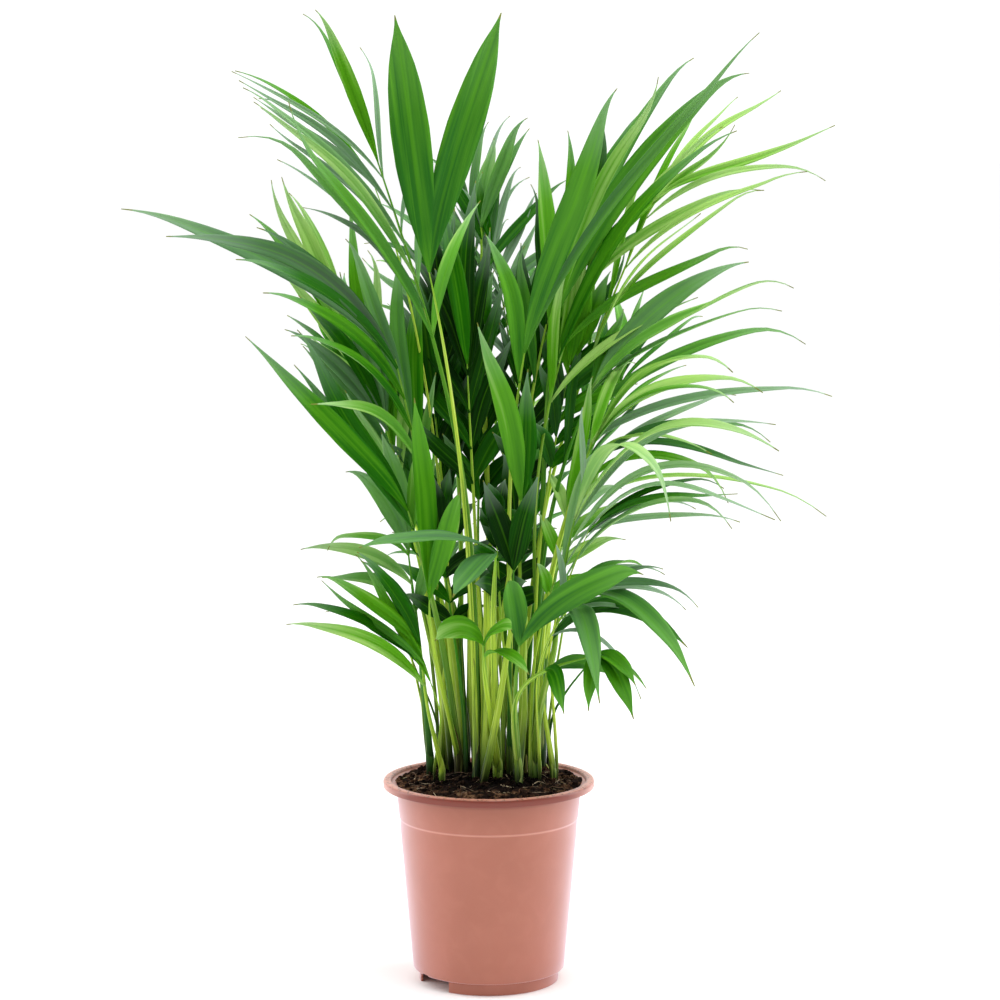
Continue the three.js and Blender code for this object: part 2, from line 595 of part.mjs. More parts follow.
// A leaflet that would touch another one is swung nearer or farther along the line of sight, a
// step more each try, until it hangs clear. Its own seedling may touch it only near its base, or,
// where there is no such place, anywhere: there the two have grown into each other.
function hangClear(leaf, placed) {
  let second = null;
  for (let i = 0; i < TRIES * 2; i += 1) {
    const swing = (i % 2 ? 1 : -1) * Math.ceil(i / 2) * SWING;
    const [x, z, y] = leaf.tip;
    if (Math.abs(y + swing) > DEPTH) continue;
    const tip = seen([x, z, y + swing]);
    const touches = (solid, others) => {
      const box = boxOf(solid);
      return others.some(
        (other) => other.box.intersectsBox(box) && solid.intersect(other.solid).volume() > 0,
      );
    };
    const isOwn = (other) => other.of === leaf.of;
    const foreign = placed.filter((other) => !isOwn(other));
    if (touches(bladeSolid(leaf, tip, GAP), foreign)) continue;
    if (!touches(bladeSolid(leaf, tip, 0, CLEAR_FROM), placed.filter(isOwn)))
      return bladeSolid(leaf, tip);
    second ??= bladeSolid(leaf, tip);
  }
  return second;
}

function makeSeedlings() {
  const lines = FRONDS.map(midline);
  easeApart(lines);
  const placed = lines.map((line, i) => {
    const solid = stalkSolid(line);
    return { of: FRONDS[i].of, solid, box: boxOf(solid) };
  });
  FRONDS.forEach((row, i) => {
    for (const leaf of leafletsOf(row, lines[i], SEED + i * SEED_STEP)) {
      const solid = hangClear(leaf, placed);
      if (solid) placed.push({ of: row.of, solid, box: boxOf(solid) });
    }
  });
  return ROOTS.map((_, i) => {
    const own = placed.filter((part) => part.of === i + 1);
    const fused = wasm.Manifold.union(own.map((part) => part.solid));
    return fused.asOriginal().simplify(COARSE);
  });
}

// ---- the whole plant ----
const LEAF_GREENS = [0x4a8f22, 0x3f8420, 0x55944a, 0x3d7d22, 0x7fb33a];

const HOLE_SIDES = 8;

// The round holes in the soil that the seedlings stand in.
function makeHoles() {
  const top = SOIL_EDGE + SOIL_MOUND + 2 * COLLAR_RISE;
  const height = top - (ROOT_Z - GAP);
  const r = CANE_R + GAP;
  const holes = ROOTS.map(([x, y]) => {
    const hole = new THREE.CylinderGeometry(r, r, height, HOLE_SIDES).rotateX(Math.PI / 2);
    return toSolid(hole.translate(x, y, top - height / 2));
  });
  return wasm.Manifold.union(holes);
}

const palm = new THREE.Group();
palm.add(named("pot", makePot(), 0xb87664, 0.42));
palm.add(named("soil", makeSoil(makeHoles()), 0x3a2b22, 0.95));
makeSeedlings().forEach((solid, i) => {
  const name = `palm_${String(i + 1).padStart(2, "0")}`;
  palm.add(named(name, solid, LEAF_GREENS[i % LEAF_GREENS.length], 0.45));
});

export default palm;
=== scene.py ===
import math

import bmesh
import bpy
import numpy as np
from mathutils import Matrix, Vector, noise
from mathutils.kdtree import KDTree


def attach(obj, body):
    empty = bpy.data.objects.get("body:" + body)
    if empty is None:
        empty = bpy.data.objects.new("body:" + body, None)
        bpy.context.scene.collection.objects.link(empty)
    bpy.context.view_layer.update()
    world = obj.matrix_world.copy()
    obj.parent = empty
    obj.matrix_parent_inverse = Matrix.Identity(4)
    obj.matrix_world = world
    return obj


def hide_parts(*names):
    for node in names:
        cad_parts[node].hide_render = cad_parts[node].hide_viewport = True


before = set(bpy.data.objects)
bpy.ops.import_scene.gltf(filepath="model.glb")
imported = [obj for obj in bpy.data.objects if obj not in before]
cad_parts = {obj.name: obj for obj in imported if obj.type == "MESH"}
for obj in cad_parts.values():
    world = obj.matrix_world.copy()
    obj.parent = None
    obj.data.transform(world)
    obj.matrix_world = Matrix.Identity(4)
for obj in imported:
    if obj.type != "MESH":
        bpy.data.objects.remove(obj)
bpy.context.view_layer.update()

# ---------------------------------------------------------------------------------------------
# The pot: a tapered nursery pot, moulded in thin terracotta-pink plastic, with a rolled lip, a
# stacking step under it, and a foot ring left open in two places so that water can run out.
MM = 0.001
lip_r, lip_top, lip_drop, mouth_r = 59.1, 114.6, 4.4, 54.4
neck_r, neck_z = 51.4, 107
collar_z, collar_step = 92.2, 0.5
heel_r, foot_top, foot_r = 42.4, 7, 39
wall, floor_t, heel_round = 1.1, 1.3, 1
foot_gap, foot_gap_at = math.radians(42), math.radians(-55.5)
slot_half, slot_depth, slot_rise = math.radians(3.4), 6, 1.4
pot_sides, foot_sides = 144, 56


def linear(*srgb):
    """A paint-chip colour, 0 to 255 each, taken off the sRGB curve as the shader wants it."""
    return tuple((c / 255 / 12.92) if c < 10.3 else ((c / 255 + 0.055) / 1.055) ** 2.4
                 for c in srgb) + (1.0,)


def finish(name, **sockets):
    """A new material, its node tree and its shader, with constant sockets set on the shader."""
    made = bpy.data.materials.new(name)
    made.use_nodes = True
    shader = made.node_tree.nodes["Principled BSDF"]
    for socket, value in sockets.items():
        shader.inputs[socket.replace("_", " ")].default_value = value
    return made, made.node_tree, shader


def node(tree, kind, **settings):
    """Adds a node; settings name its properties, or its input sockets by name or number."""
    made = tree.nodes.new(kind)
    for key, value in settings.items():
        if hasattr(made, key):
            setattr(made, key, value)
        else:
            socket = int(key[1:]) if key[1:].isdigit() else key.replace("_", " ")
            made.inputs[socket].default_value = value
    return made


def coordinates(tree, kind="Object"):
    """The place on the piece, or on its UV map."""
    return node(tree, "ShaderNodeTexCoord").outputs[kind]


def texture(tree, where, kind, **settings):
    """A noise or cell pattern on the given coordinates."""
    made = node(tree, "ShaderNodeTex" + kind, **settings)
    tree.links.new(where, made.inputs["Vector"])
    return made.outputs[0]


def between(tree, value, low, high, **settings):
    """0 to 1 as the value goes from low to high."""
    made = node(tree, "ShaderNodeMapRange", From_Min=low, From_Max=high, **settings)
    tree.links.new(value, made.inputs["Value"])
    return made.outputs[0]


def ramp(tree, source, *stops):
    """A colour ramp fed by a socket; each stop is a place and a colour."""
    made = tree.nodes.new("ShaderNodeValToRGB")
    tree.links.new(source, made.inputs[0])
    bars = made.color_ramp.elements
    while len(bars) < len(stops):
        bars.new(0.5)
    for bar, (position, colour) in zip(bars, stops):
        bar.position, bar.color = position, colour
    return made.outputs[0]


def mask(tree, source, *stops):
    """A grey ramp that says how much of a colour shows; each stop is a place and a share."""
    return ramp(tree, source, *((position, (share, share, share, 1)) for position, share in stops))


def mix(tree, share, a, b, blend="MIX"):
    """Two colours mixed; share, a and b are sockets or plain values."""
    made = tree.nodes.new("ShaderNodeMix")
    made.data_type, made.blend_type = "RGBA", blend
    for socket, value in ((made.inputs[0], share), (made.inputs[6], a), (made.inputs[7], b)):
        if hasattr(value, "links"):
            tree.links.new(value, socket)
        else:
            socket.default_value = value
    return made.outputs[2]


def dress(tree, shader, colour, height=None, strength=0.0, distance=0.0):
    """Gives the shader its colour, and its relief from a height socket."""
    tree.links.new(colour, shader.inputs["Base Color"])
    if height:
        made = node(tree, "ShaderNodeBump", Strength=strength, Distance=distance)
        tree.links.new(height, made.inputs["Height"])
        tree.links.new(made.outputs[0], shader.inputs["Normal"])


def place(name, bm, materials, slot, *nodes, smooth):
    """Turns a bmesh into a piece that rides on the frame and stands for the given nodes."""
    mesh = bpy.data.meshes.new(name)
    bm.to_mesh(mesh)
    bm.free()
    for made in materials:
        mesh.materials.append(made)
    piece = bpy.data.objects.new(name, mesh)
    bpy.context.scene.collection.objects.link(piece)
    mesh.shade_smooth()
    mesh.set_sharp_from_angle(angle=math.radians(smooth))
    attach(piece, "root")
    if nodes:
        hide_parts(*nodes)
    return piece


def profile(bm, points, closed=False):
    """A (radius, height) profile in millimetres, in the XZ plane: its corners, then its edges."""
    spots = [bm.verts.new((r * MM, 0, z * MM)) for r, z in points]
    runs = list(zip(spots, spots[1:])) + ([(spots[-1], spots[0])] if closed else [])
    return spots + [bm.edges.new(run) for run in runs]


def turned(bm, points, sides, weld):
    """The profile turned all the way round into one body, with its seam and its poles closed."""
    bmesh.ops.spin(bm, geom=profile(bm, points), cent=(0, 0, 0), axis=(0, 0, 1),
                   angle=2 * math.pi, steps=sides, use_merge=True)
    bmesh.ops.remove_doubles(bm, verts=bm.verts, dist=weld)


def wall_r(z):
    """Radius of the tapered wall's outside at a height."""
    return heel_r + (neck_r - heel_r) * (z - foot_top) / (neck_z - foot_top)


def arc(centre, r, start, end, steps):
    """Points on a round corner, angles in degrees from outwards."""
    turns = np.radians(np.linspace(start, end, steps))
    return [(centre[0] + r * math.cos(t), centre[1] + r * math.sin(t)) for t in turns]


# The wall from the middle of the underside outwards and up, the lip over and down and over again,
# and the inside down to the middle of the floor.
bm = bmesh.new()
outside = [(0, foot_top),
           *arc((heel_r - heel_round, foot_top + heel_round), heel_round, -90, -5, 5),
           *((wall_r(z), z) for z in np.linspace(14, 84, 8)),
           (wall_r(collar_z) - collar_step, collar_z - 0.5),
           (wall_r(collar_z) - collar_step + 0.08, collar_z + 0.1),
           (wall_r(collar_z + 1) - 0.06, collar_z + 0.7), (wall_r(collar_z + 1), collar_z + 1.1),
           (wall_r(99), 99), (neck_r, neck_z)]
lip = [*arc((neck_r + 1.6, lip_top - 3.4), 1.6, 180, 95, 4), (lip_r - 2.4, lip_top - 1.8),
       (lip_r - 1.3, lip_top - 2.4), (lip_r - 1.2, lip_top - lip_drop + 0.2),
       *arc((lip_r - 0.6, lip_top - lip_drop + 0.5), 0.55, 200, 350, 4),
       *arc((lip_r - 1.5, lip_top - 1.6), 1.5, 0, 80, 6),
       (lip_r - 3.0, lip_top), (mouth_r + 1.6, lip_top - 0.1),
       *arc((mouth_r + 1.3, lip_top - 1.5), 1.35, 95, 175, 5)]
inside = [(neck_r - wall, neck_z), (wall_r(collar_z) - collar_step - wall, collar_z),
          (wall_r(50) - wall, 50), (heel_r - wall, foot_top + floor_t + 0.6),
          (heel_r - wall - 1, foot_top + floor_t), (0, foot_top + floor_t)]
turned(bm, outside + lip + inside, pot_sides, 1e-6)

# Drain slots: the heel's corner is open for a few millimetres in the middle of each foot gap.
for turn in (foot_gap_at, foot_gap_at + math.pi):
    open_faces = []
    for face in bm.faces:
        mid = face.calc_center_median() / MM
        off = (math.atan2(mid.x, -mid.y) - turn + math.pi) % (2 * math.pi) - math.pi
        near_heel = math.hypot(mid.x, mid.y) > heel_r - slot_depth and mid.z < foot_top + slot_rise
        if abs(off) < slot_half and near_heel:
            open_faces.append(face)
    bmesh.ops.delete(bm, geom=open_faces, context="FACES")
bmesh.ops.recalc_face_normals(bm, faces=bm.faces)

# The foot: two arcs of a plain ring, each a closed band let a little way into the floor.
for start in (foot_gap_at + foot_gap / 2, foot_gap_at + foot_gap / 2 + math.pi):
    band = [(foot_r - wall, foot_top + 0.2), (foot_r - wall, 0.2), (foot_r - wall + 0.2, 0),
            (foot_r - 0.25, 0), (foot_r, 0.25), (foot_r, foot_top + 0.2)]
    ring = profile(bm, band, closed=True)
    corners, edges = ring[:len(band)], ring[len(band):]
    end_face = bmesh.ops.contextual_create(bm, geom=edges)["faces"]
    bmesh.ops.rotate(bm, verts=corners, matrix=Matrix.Rotation(start - math.pi / 2, 3, "Z"))
    bmesh.ops.spin(bm, geom=end_face + ring, cent=(0, 0, 0), axis=(0, 0, 1),
                   angle=math.pi - foot_gap, steps=foot_sides)
    low_faces = []
    for face in bm.faces:
        mid = face.calc_center_median()
        if mid.z < (foot_top + 0.3) * MM and mid.to_2d().length < (foot_r + 0.05) * MM:
            low_faces.append(face)
    bmesh.ops.recalc_face_normals(bm, faces=low_faces)


def pot_finish(name, sheen):
    """The pot's plastic: softly clouded, with a painted highlight along the step, and painted
    shade, painted reflection and a painted highlight on the lip.
    """
    made, tree, shader = finish(
        name, Roughness=0.33, IOR=1.5, Specular_IOR_Level=0.5, Subsurface_Weight=0.08,
        Subsurface_Scale=0.004, Subsurface_Radius=(1.0, 0.35, 0.2), Sheen_Weight=sheen,
        Sheen_Roughness=0.42, Sheen_Tint=(1, 0.84, 1, 1))
    where = coordinates(tree)
    cloud = texture(tree, where, "Noise", Scale=24, Detail=3, Roughness=0.5)
    grain = texture(tree, where, "Noise", Scale=1100, Detail=3)
    swirl = texture(tree, where, "Noise", Scale=95, Detail=2, Distortion=0.8)
    speck = texture(tree, where, "Noise", Scale=420, Detail=4, Roughness=0.7)
    height = node(tree, "ShaderNodeSeparateXYZ")
    tree.links.new(where, height.inputs[0])
    clay = mix(tree, mask(tree, cloud, (0.3, 0), (0.75, 1)), linear(165, 95, 72),
               linear(172, 101, 79))
    clay = mix(tree, mask(tree, swirl, (0.45, 0), (0.75, 0.14)), clay, linear(188, 119, 98))
    # Painted highlight: a pale line along the edge of the stacking step, where its ledge catches
    # the light.
    step_highlight = between(tree, height.outputs["Z"], (collar_z - 1) * MM, (collar_z + 2) * MM)
    clay = mix(tree, mask(tree, step_highlight, (0.1, 0), (0.4, 0.5), (0.7, 0)), clay,
               linear(218, 156, 138))
    # Painted shade darkens the front of the lip and a painted reflection keeps its sides and back
    # pale; a painted highlight runs along its top edge, and crumbs cling on top.
    level = between(tree, height.outputs["Z"], (lip_top - 8) * MM, lip_top * MM)
    front = between(tree, height.outputs["Y"], -0.015, -0.04)
    lip_shade_and_reflection = mix(tree, front, linear(190, 130, 116), linear(112, 30, 8))
    clay = mix(tree, mask(tree, level, (0.05, 0), (0.4, 0.9)), clay, lip_shade_and_reflection)
    # Painted highlight along the top edge of the lip.
    clay = mix(tree, mask(tree, level, (0.9, 0), (0.97, 0.6)), clay, linear(226, 160, 138))
    crumb_dust = mix(tree, 1.0, mask(tree, level, (0.75, 0), (0.95, 1)),
                     mask(tree, speck, (0.53, 0), (0.6, 0.8)), "MULTIPLY")
    clay = mix(tree, crumb_dust, clay, linear(96, 56, 40))
    dress(tree, shader, clay, mix(tree, 0.5, grain, swirl), 0.1, 0.0003)
    return made


for face in bm.faces:
    face.material_index = face.calc_center_median().z > (lip_top - lip_drop - 0.8) * MM
place("nursery_pot", bm, [pot_finish("terracotta_plastic", 1.0), pot_finish("worn_lip", 0.12)],
      "pot_plastic", "pot", smooth=35)

# ---------------------------------------------------------------------------------------------
# The soil: dark fibrous peat pressed in to just under the lip, a little heaped round the stalks,
# with loose crumbs and pale root hairs lying on it.
soil_edge, soil_mound, soil_r = 112.5, 3.0, 52.9
# Lumps on it, coarse to fine: how high, how close together, and which slice of the noise.
soil_lumps = ((1.8, 0.11, 3), (0.9, 0.3, 9), (0.7, 0.8, 20))
soil_sides, soil_rings = 120, 34
crumb_count, hair_count, hair_points = 900, 110, 7
hair_bow, hair_clear, hair_arch = 0.9, 0.35, 1.1


def soil_z(x, y):
    """Height of the soil at a place, in millimetres: a low mound with lumps."""
    share = min(1.0, math.hypot(x, y) / soil_r)
    lumps = sum(noise.noise(Vector((x, y, cut)) * close) * high for high, close, cut in soil_lumps)
    return soil_edge + soil_mound * (1 - share ** 2) + lumps


bm = bmesh.new()
soil_side = [(0, foot_top + 1.8), (heel_r - wall - 1.4, foot_top + 1.8), (wall_r(60) - 1.9, 60),
             (wall_r(89) - 2.2, 89), (neck_r - 1.6, neck_z - 1), (soil_r, soil_edge - 1.4),
             (soil_r - 0.4, soil_edge)]
soil_top = [(r, soil_edge + 1) for r in np.linspace(soil_r - 2, 0, soil_rings)]
turned(bm, soil_side + soil_top, soil_sides, 1e-5)
bmesh.ops.recalc_face_normals(bm, faces=bm.faces)
for spot in bm.verts:
    if spot.co.z > (soil_edge - 0.5) * MM:
        spot.co.z = soil_z(spot.co.x / MM, spot.co.y / MM) * MM

peat, tree, shader = finish("peat", Roughness=0.95, Specular_IOR_Level=0.04)
where = coordinates(tree)
clods = texture(tree, where, "Noise", Scale=130, Detail=6, Roughness=0.72)
patches = texture(tree, where, "Noise", Scale=38, Detail=2)
grains = texture(tree, where, "Voronoi", Scale=520)
earth = ramp(tree, clods, (0.38, linear(7, 5, 5)), (0.5, linear(36, 23, 18)),
             (0.58, linear(108, 76, 56)), (0.7, linear(176, 140, 108)))
earth = mix(tree, mask(tree, patches, (0.35, 0.6), (0.65, 0)), earth, linear(30, 20, 16))
# Painted shade: the soil darkens to near black towards the middle, where the stalks shade it.
flat = node(tree, "ShaderNodeMapping", Scale=(25, 25, 0))
tree.links.new(where, flat.inputs["Vector"])
from_middle = node(tree, "ShaderNodeVectorMath", operation="LENGTH")
tree.links.new(flat.outputs[0], from_middle.inputs[0])
earth = mix(tree, mask(tree, from_middle.outputs["Value"], (0.75, 0.85), (1.0, 0)), earth,
            linear(10, 7, 7))
dress(tree, shader, earth, mix(tree, 0.5, clods, grains), 0.9, 0.003)
place("potting_soil", bm, [peat], "soil", "soil", smooth=60)

chance = np.random.default_rng(7)


def soil_spot(limit):
    """A place on the soil, by chance; limit is the share of its radius that counts."""
    r, turn = soil_r * limit * math.sqrt(chance.random()), chance.random() * 2 * math.pi
    return r * math.cos(turn), r * math.sin(turn)


def crumb(bm, at, size, flattest, ragged, turn=Matrix()):
    """A small clod: a ball pressed out of round, with its corners knocked about."""
    stretch = Matrix.Diagonal((*(chance.uniform(flattest, 1.2, 3) * size * MM), 1))
    lump = bmesh.ops.create_icosphere(bm, subdivisions=1, radius=1,
                                      matrix=Matrix.Translation(at * MM) @ turn @ stretch)
    for corner in lump["verts"]:
        corner.co += Vector(chance.normal(size=3)) * size * ragged * MM


bm = bmesh.new()
for _ in range(crumb_count):
    x, y = soil_spot(0.97)
    size = chance.uniform(0.35, 1.5) ** 1.4
    turn = Matrix.Rotation(chance.random() * 6, 4, Vector(chance.normal(size=3)).normalized())
    crumb(bm, Vector((x, y, soil_z(x, y) + size * 0.2)), size, 0.5, 0.12, turn)
place("soil_crumbs", bm, [peat], "soil", smooth=20)


def strand(bm, points, radius, sides=4):
    """A thin round thread through the points, in millimetres, tapering at both ends."""
    taper = 0.75
    spots = [Vector(p) * MM for p in points]
    previous = None
    for i, spot in enumerate(spots):
        ahead = spots[min(i + 1, len(spots) - 1)] - spots[max(i - 1, 0)]
        girth = radius * (1 - taper * abs(2 * i / (len(spots) - 1) - 1) ** 3)
        turn = ahead.to_track_quat("Z", "Y").to_matrix().to_4x4()
        ring = bmesh.ops.create_circle(bm, segments=sides, radius=girth * MM,
                                       matrix=Matrix.Translation(spot) @ turn)["verts"]
        rim = list({e for v in ring for e in v.link_edges})
        if previous:
            bmesh.ops.bridge_loops(bm, edges=previous + rim)
        previous = rim


# Root hairs lie along the lumps; every third one stands up in a low arch.
bm = bmesh.new()
for k in range(hair_count):
    x, y = soil_spot(0.93)
    way, long = chance.random() * 2 * math.pi, chance.uniform(4, 15)
    bow = chance.normal() * hair_bow
    hair = []
    for t in np.linspace(0, 1, hair_points):
        px = x + long * t * math.cos(way + bow * t)
        py = y + long * t * math.sin(way + bow * t)
        if math.hypot(px, py) > soil_r * 0.97:
            break
        arch = hair_arch * math.sin(math.pi * t) * (k % 3 == 0)
        hair.append((px, py, soil_z(px, py) + hair_clear + arch))
    if len(hair) > 3:
        strand(bm, hair, chance.uniform(0.1, 0.24))
root_hair, tree, shader = finish("root_hair", Roughness=0.8, Specular_IOR_Level=0.3)
tint = texture(tree, coordinates(tree), "Noise", Scale=140, Detail=2)
dress(tree, shader, ramp(tree, tint, (0.35, linear(60, 44, 34)), (0.5, linear(112, 88, 68)),
                         (0.66, linear(196, 176, 146))))
place("soil_fibres", bm, [root_hair], "soil", smooth=60)

# ---------------------------------------------------------------------------------------------
# The seedlings' midlines: eighteen palms a few weeks apart in age, pricked out close together.
# Each row is one frond: its stalk rises from the soil, bends over and carries the leaflets.

# roots: where the seedlings stand in the soil, [x, y]. of: its seedling. stalk: where the
# leaflets start, the midrib's bend and its end, each as [x, z, y] seen from the eye. left,
# right: how many leaflets, then the tips of the first, the middle and the last, or of the only
# one. pair: tips of the end pair. wide: width of a leaflet, then of the end pair. lift: how far
# a leaflet arches up, as a share of its length. look: degrees from facing the viewer over facing
# up to facing away. tone: 0 mid green, 1 grey-green, 2 young yellow-green, 3 deep green. thin:
# how stout an older, slighter stalk beside its seedling is. slim: what is left of the width at
# the first and the last leaflet. ashen: how much greyer the first, the last and the end pair
# are. shade: how much lighter than the tone. blunt: the broad first blades of a young leaf.
# ashen is partly the leaflets' own grey-green and partly a painted sheen of the white surroundings.
roots = [(-33, 10), (-26, -6), (-24, 22), (-17, 5), (-13, 32), (-7, -12), (-2, 13), (3, 34),
         (5, -4), (17, -19), (12, 6), (17, 24), (25, -6), (27, 10), (30, 27), (36, -4), (-18, 41),
         (13, 43)]
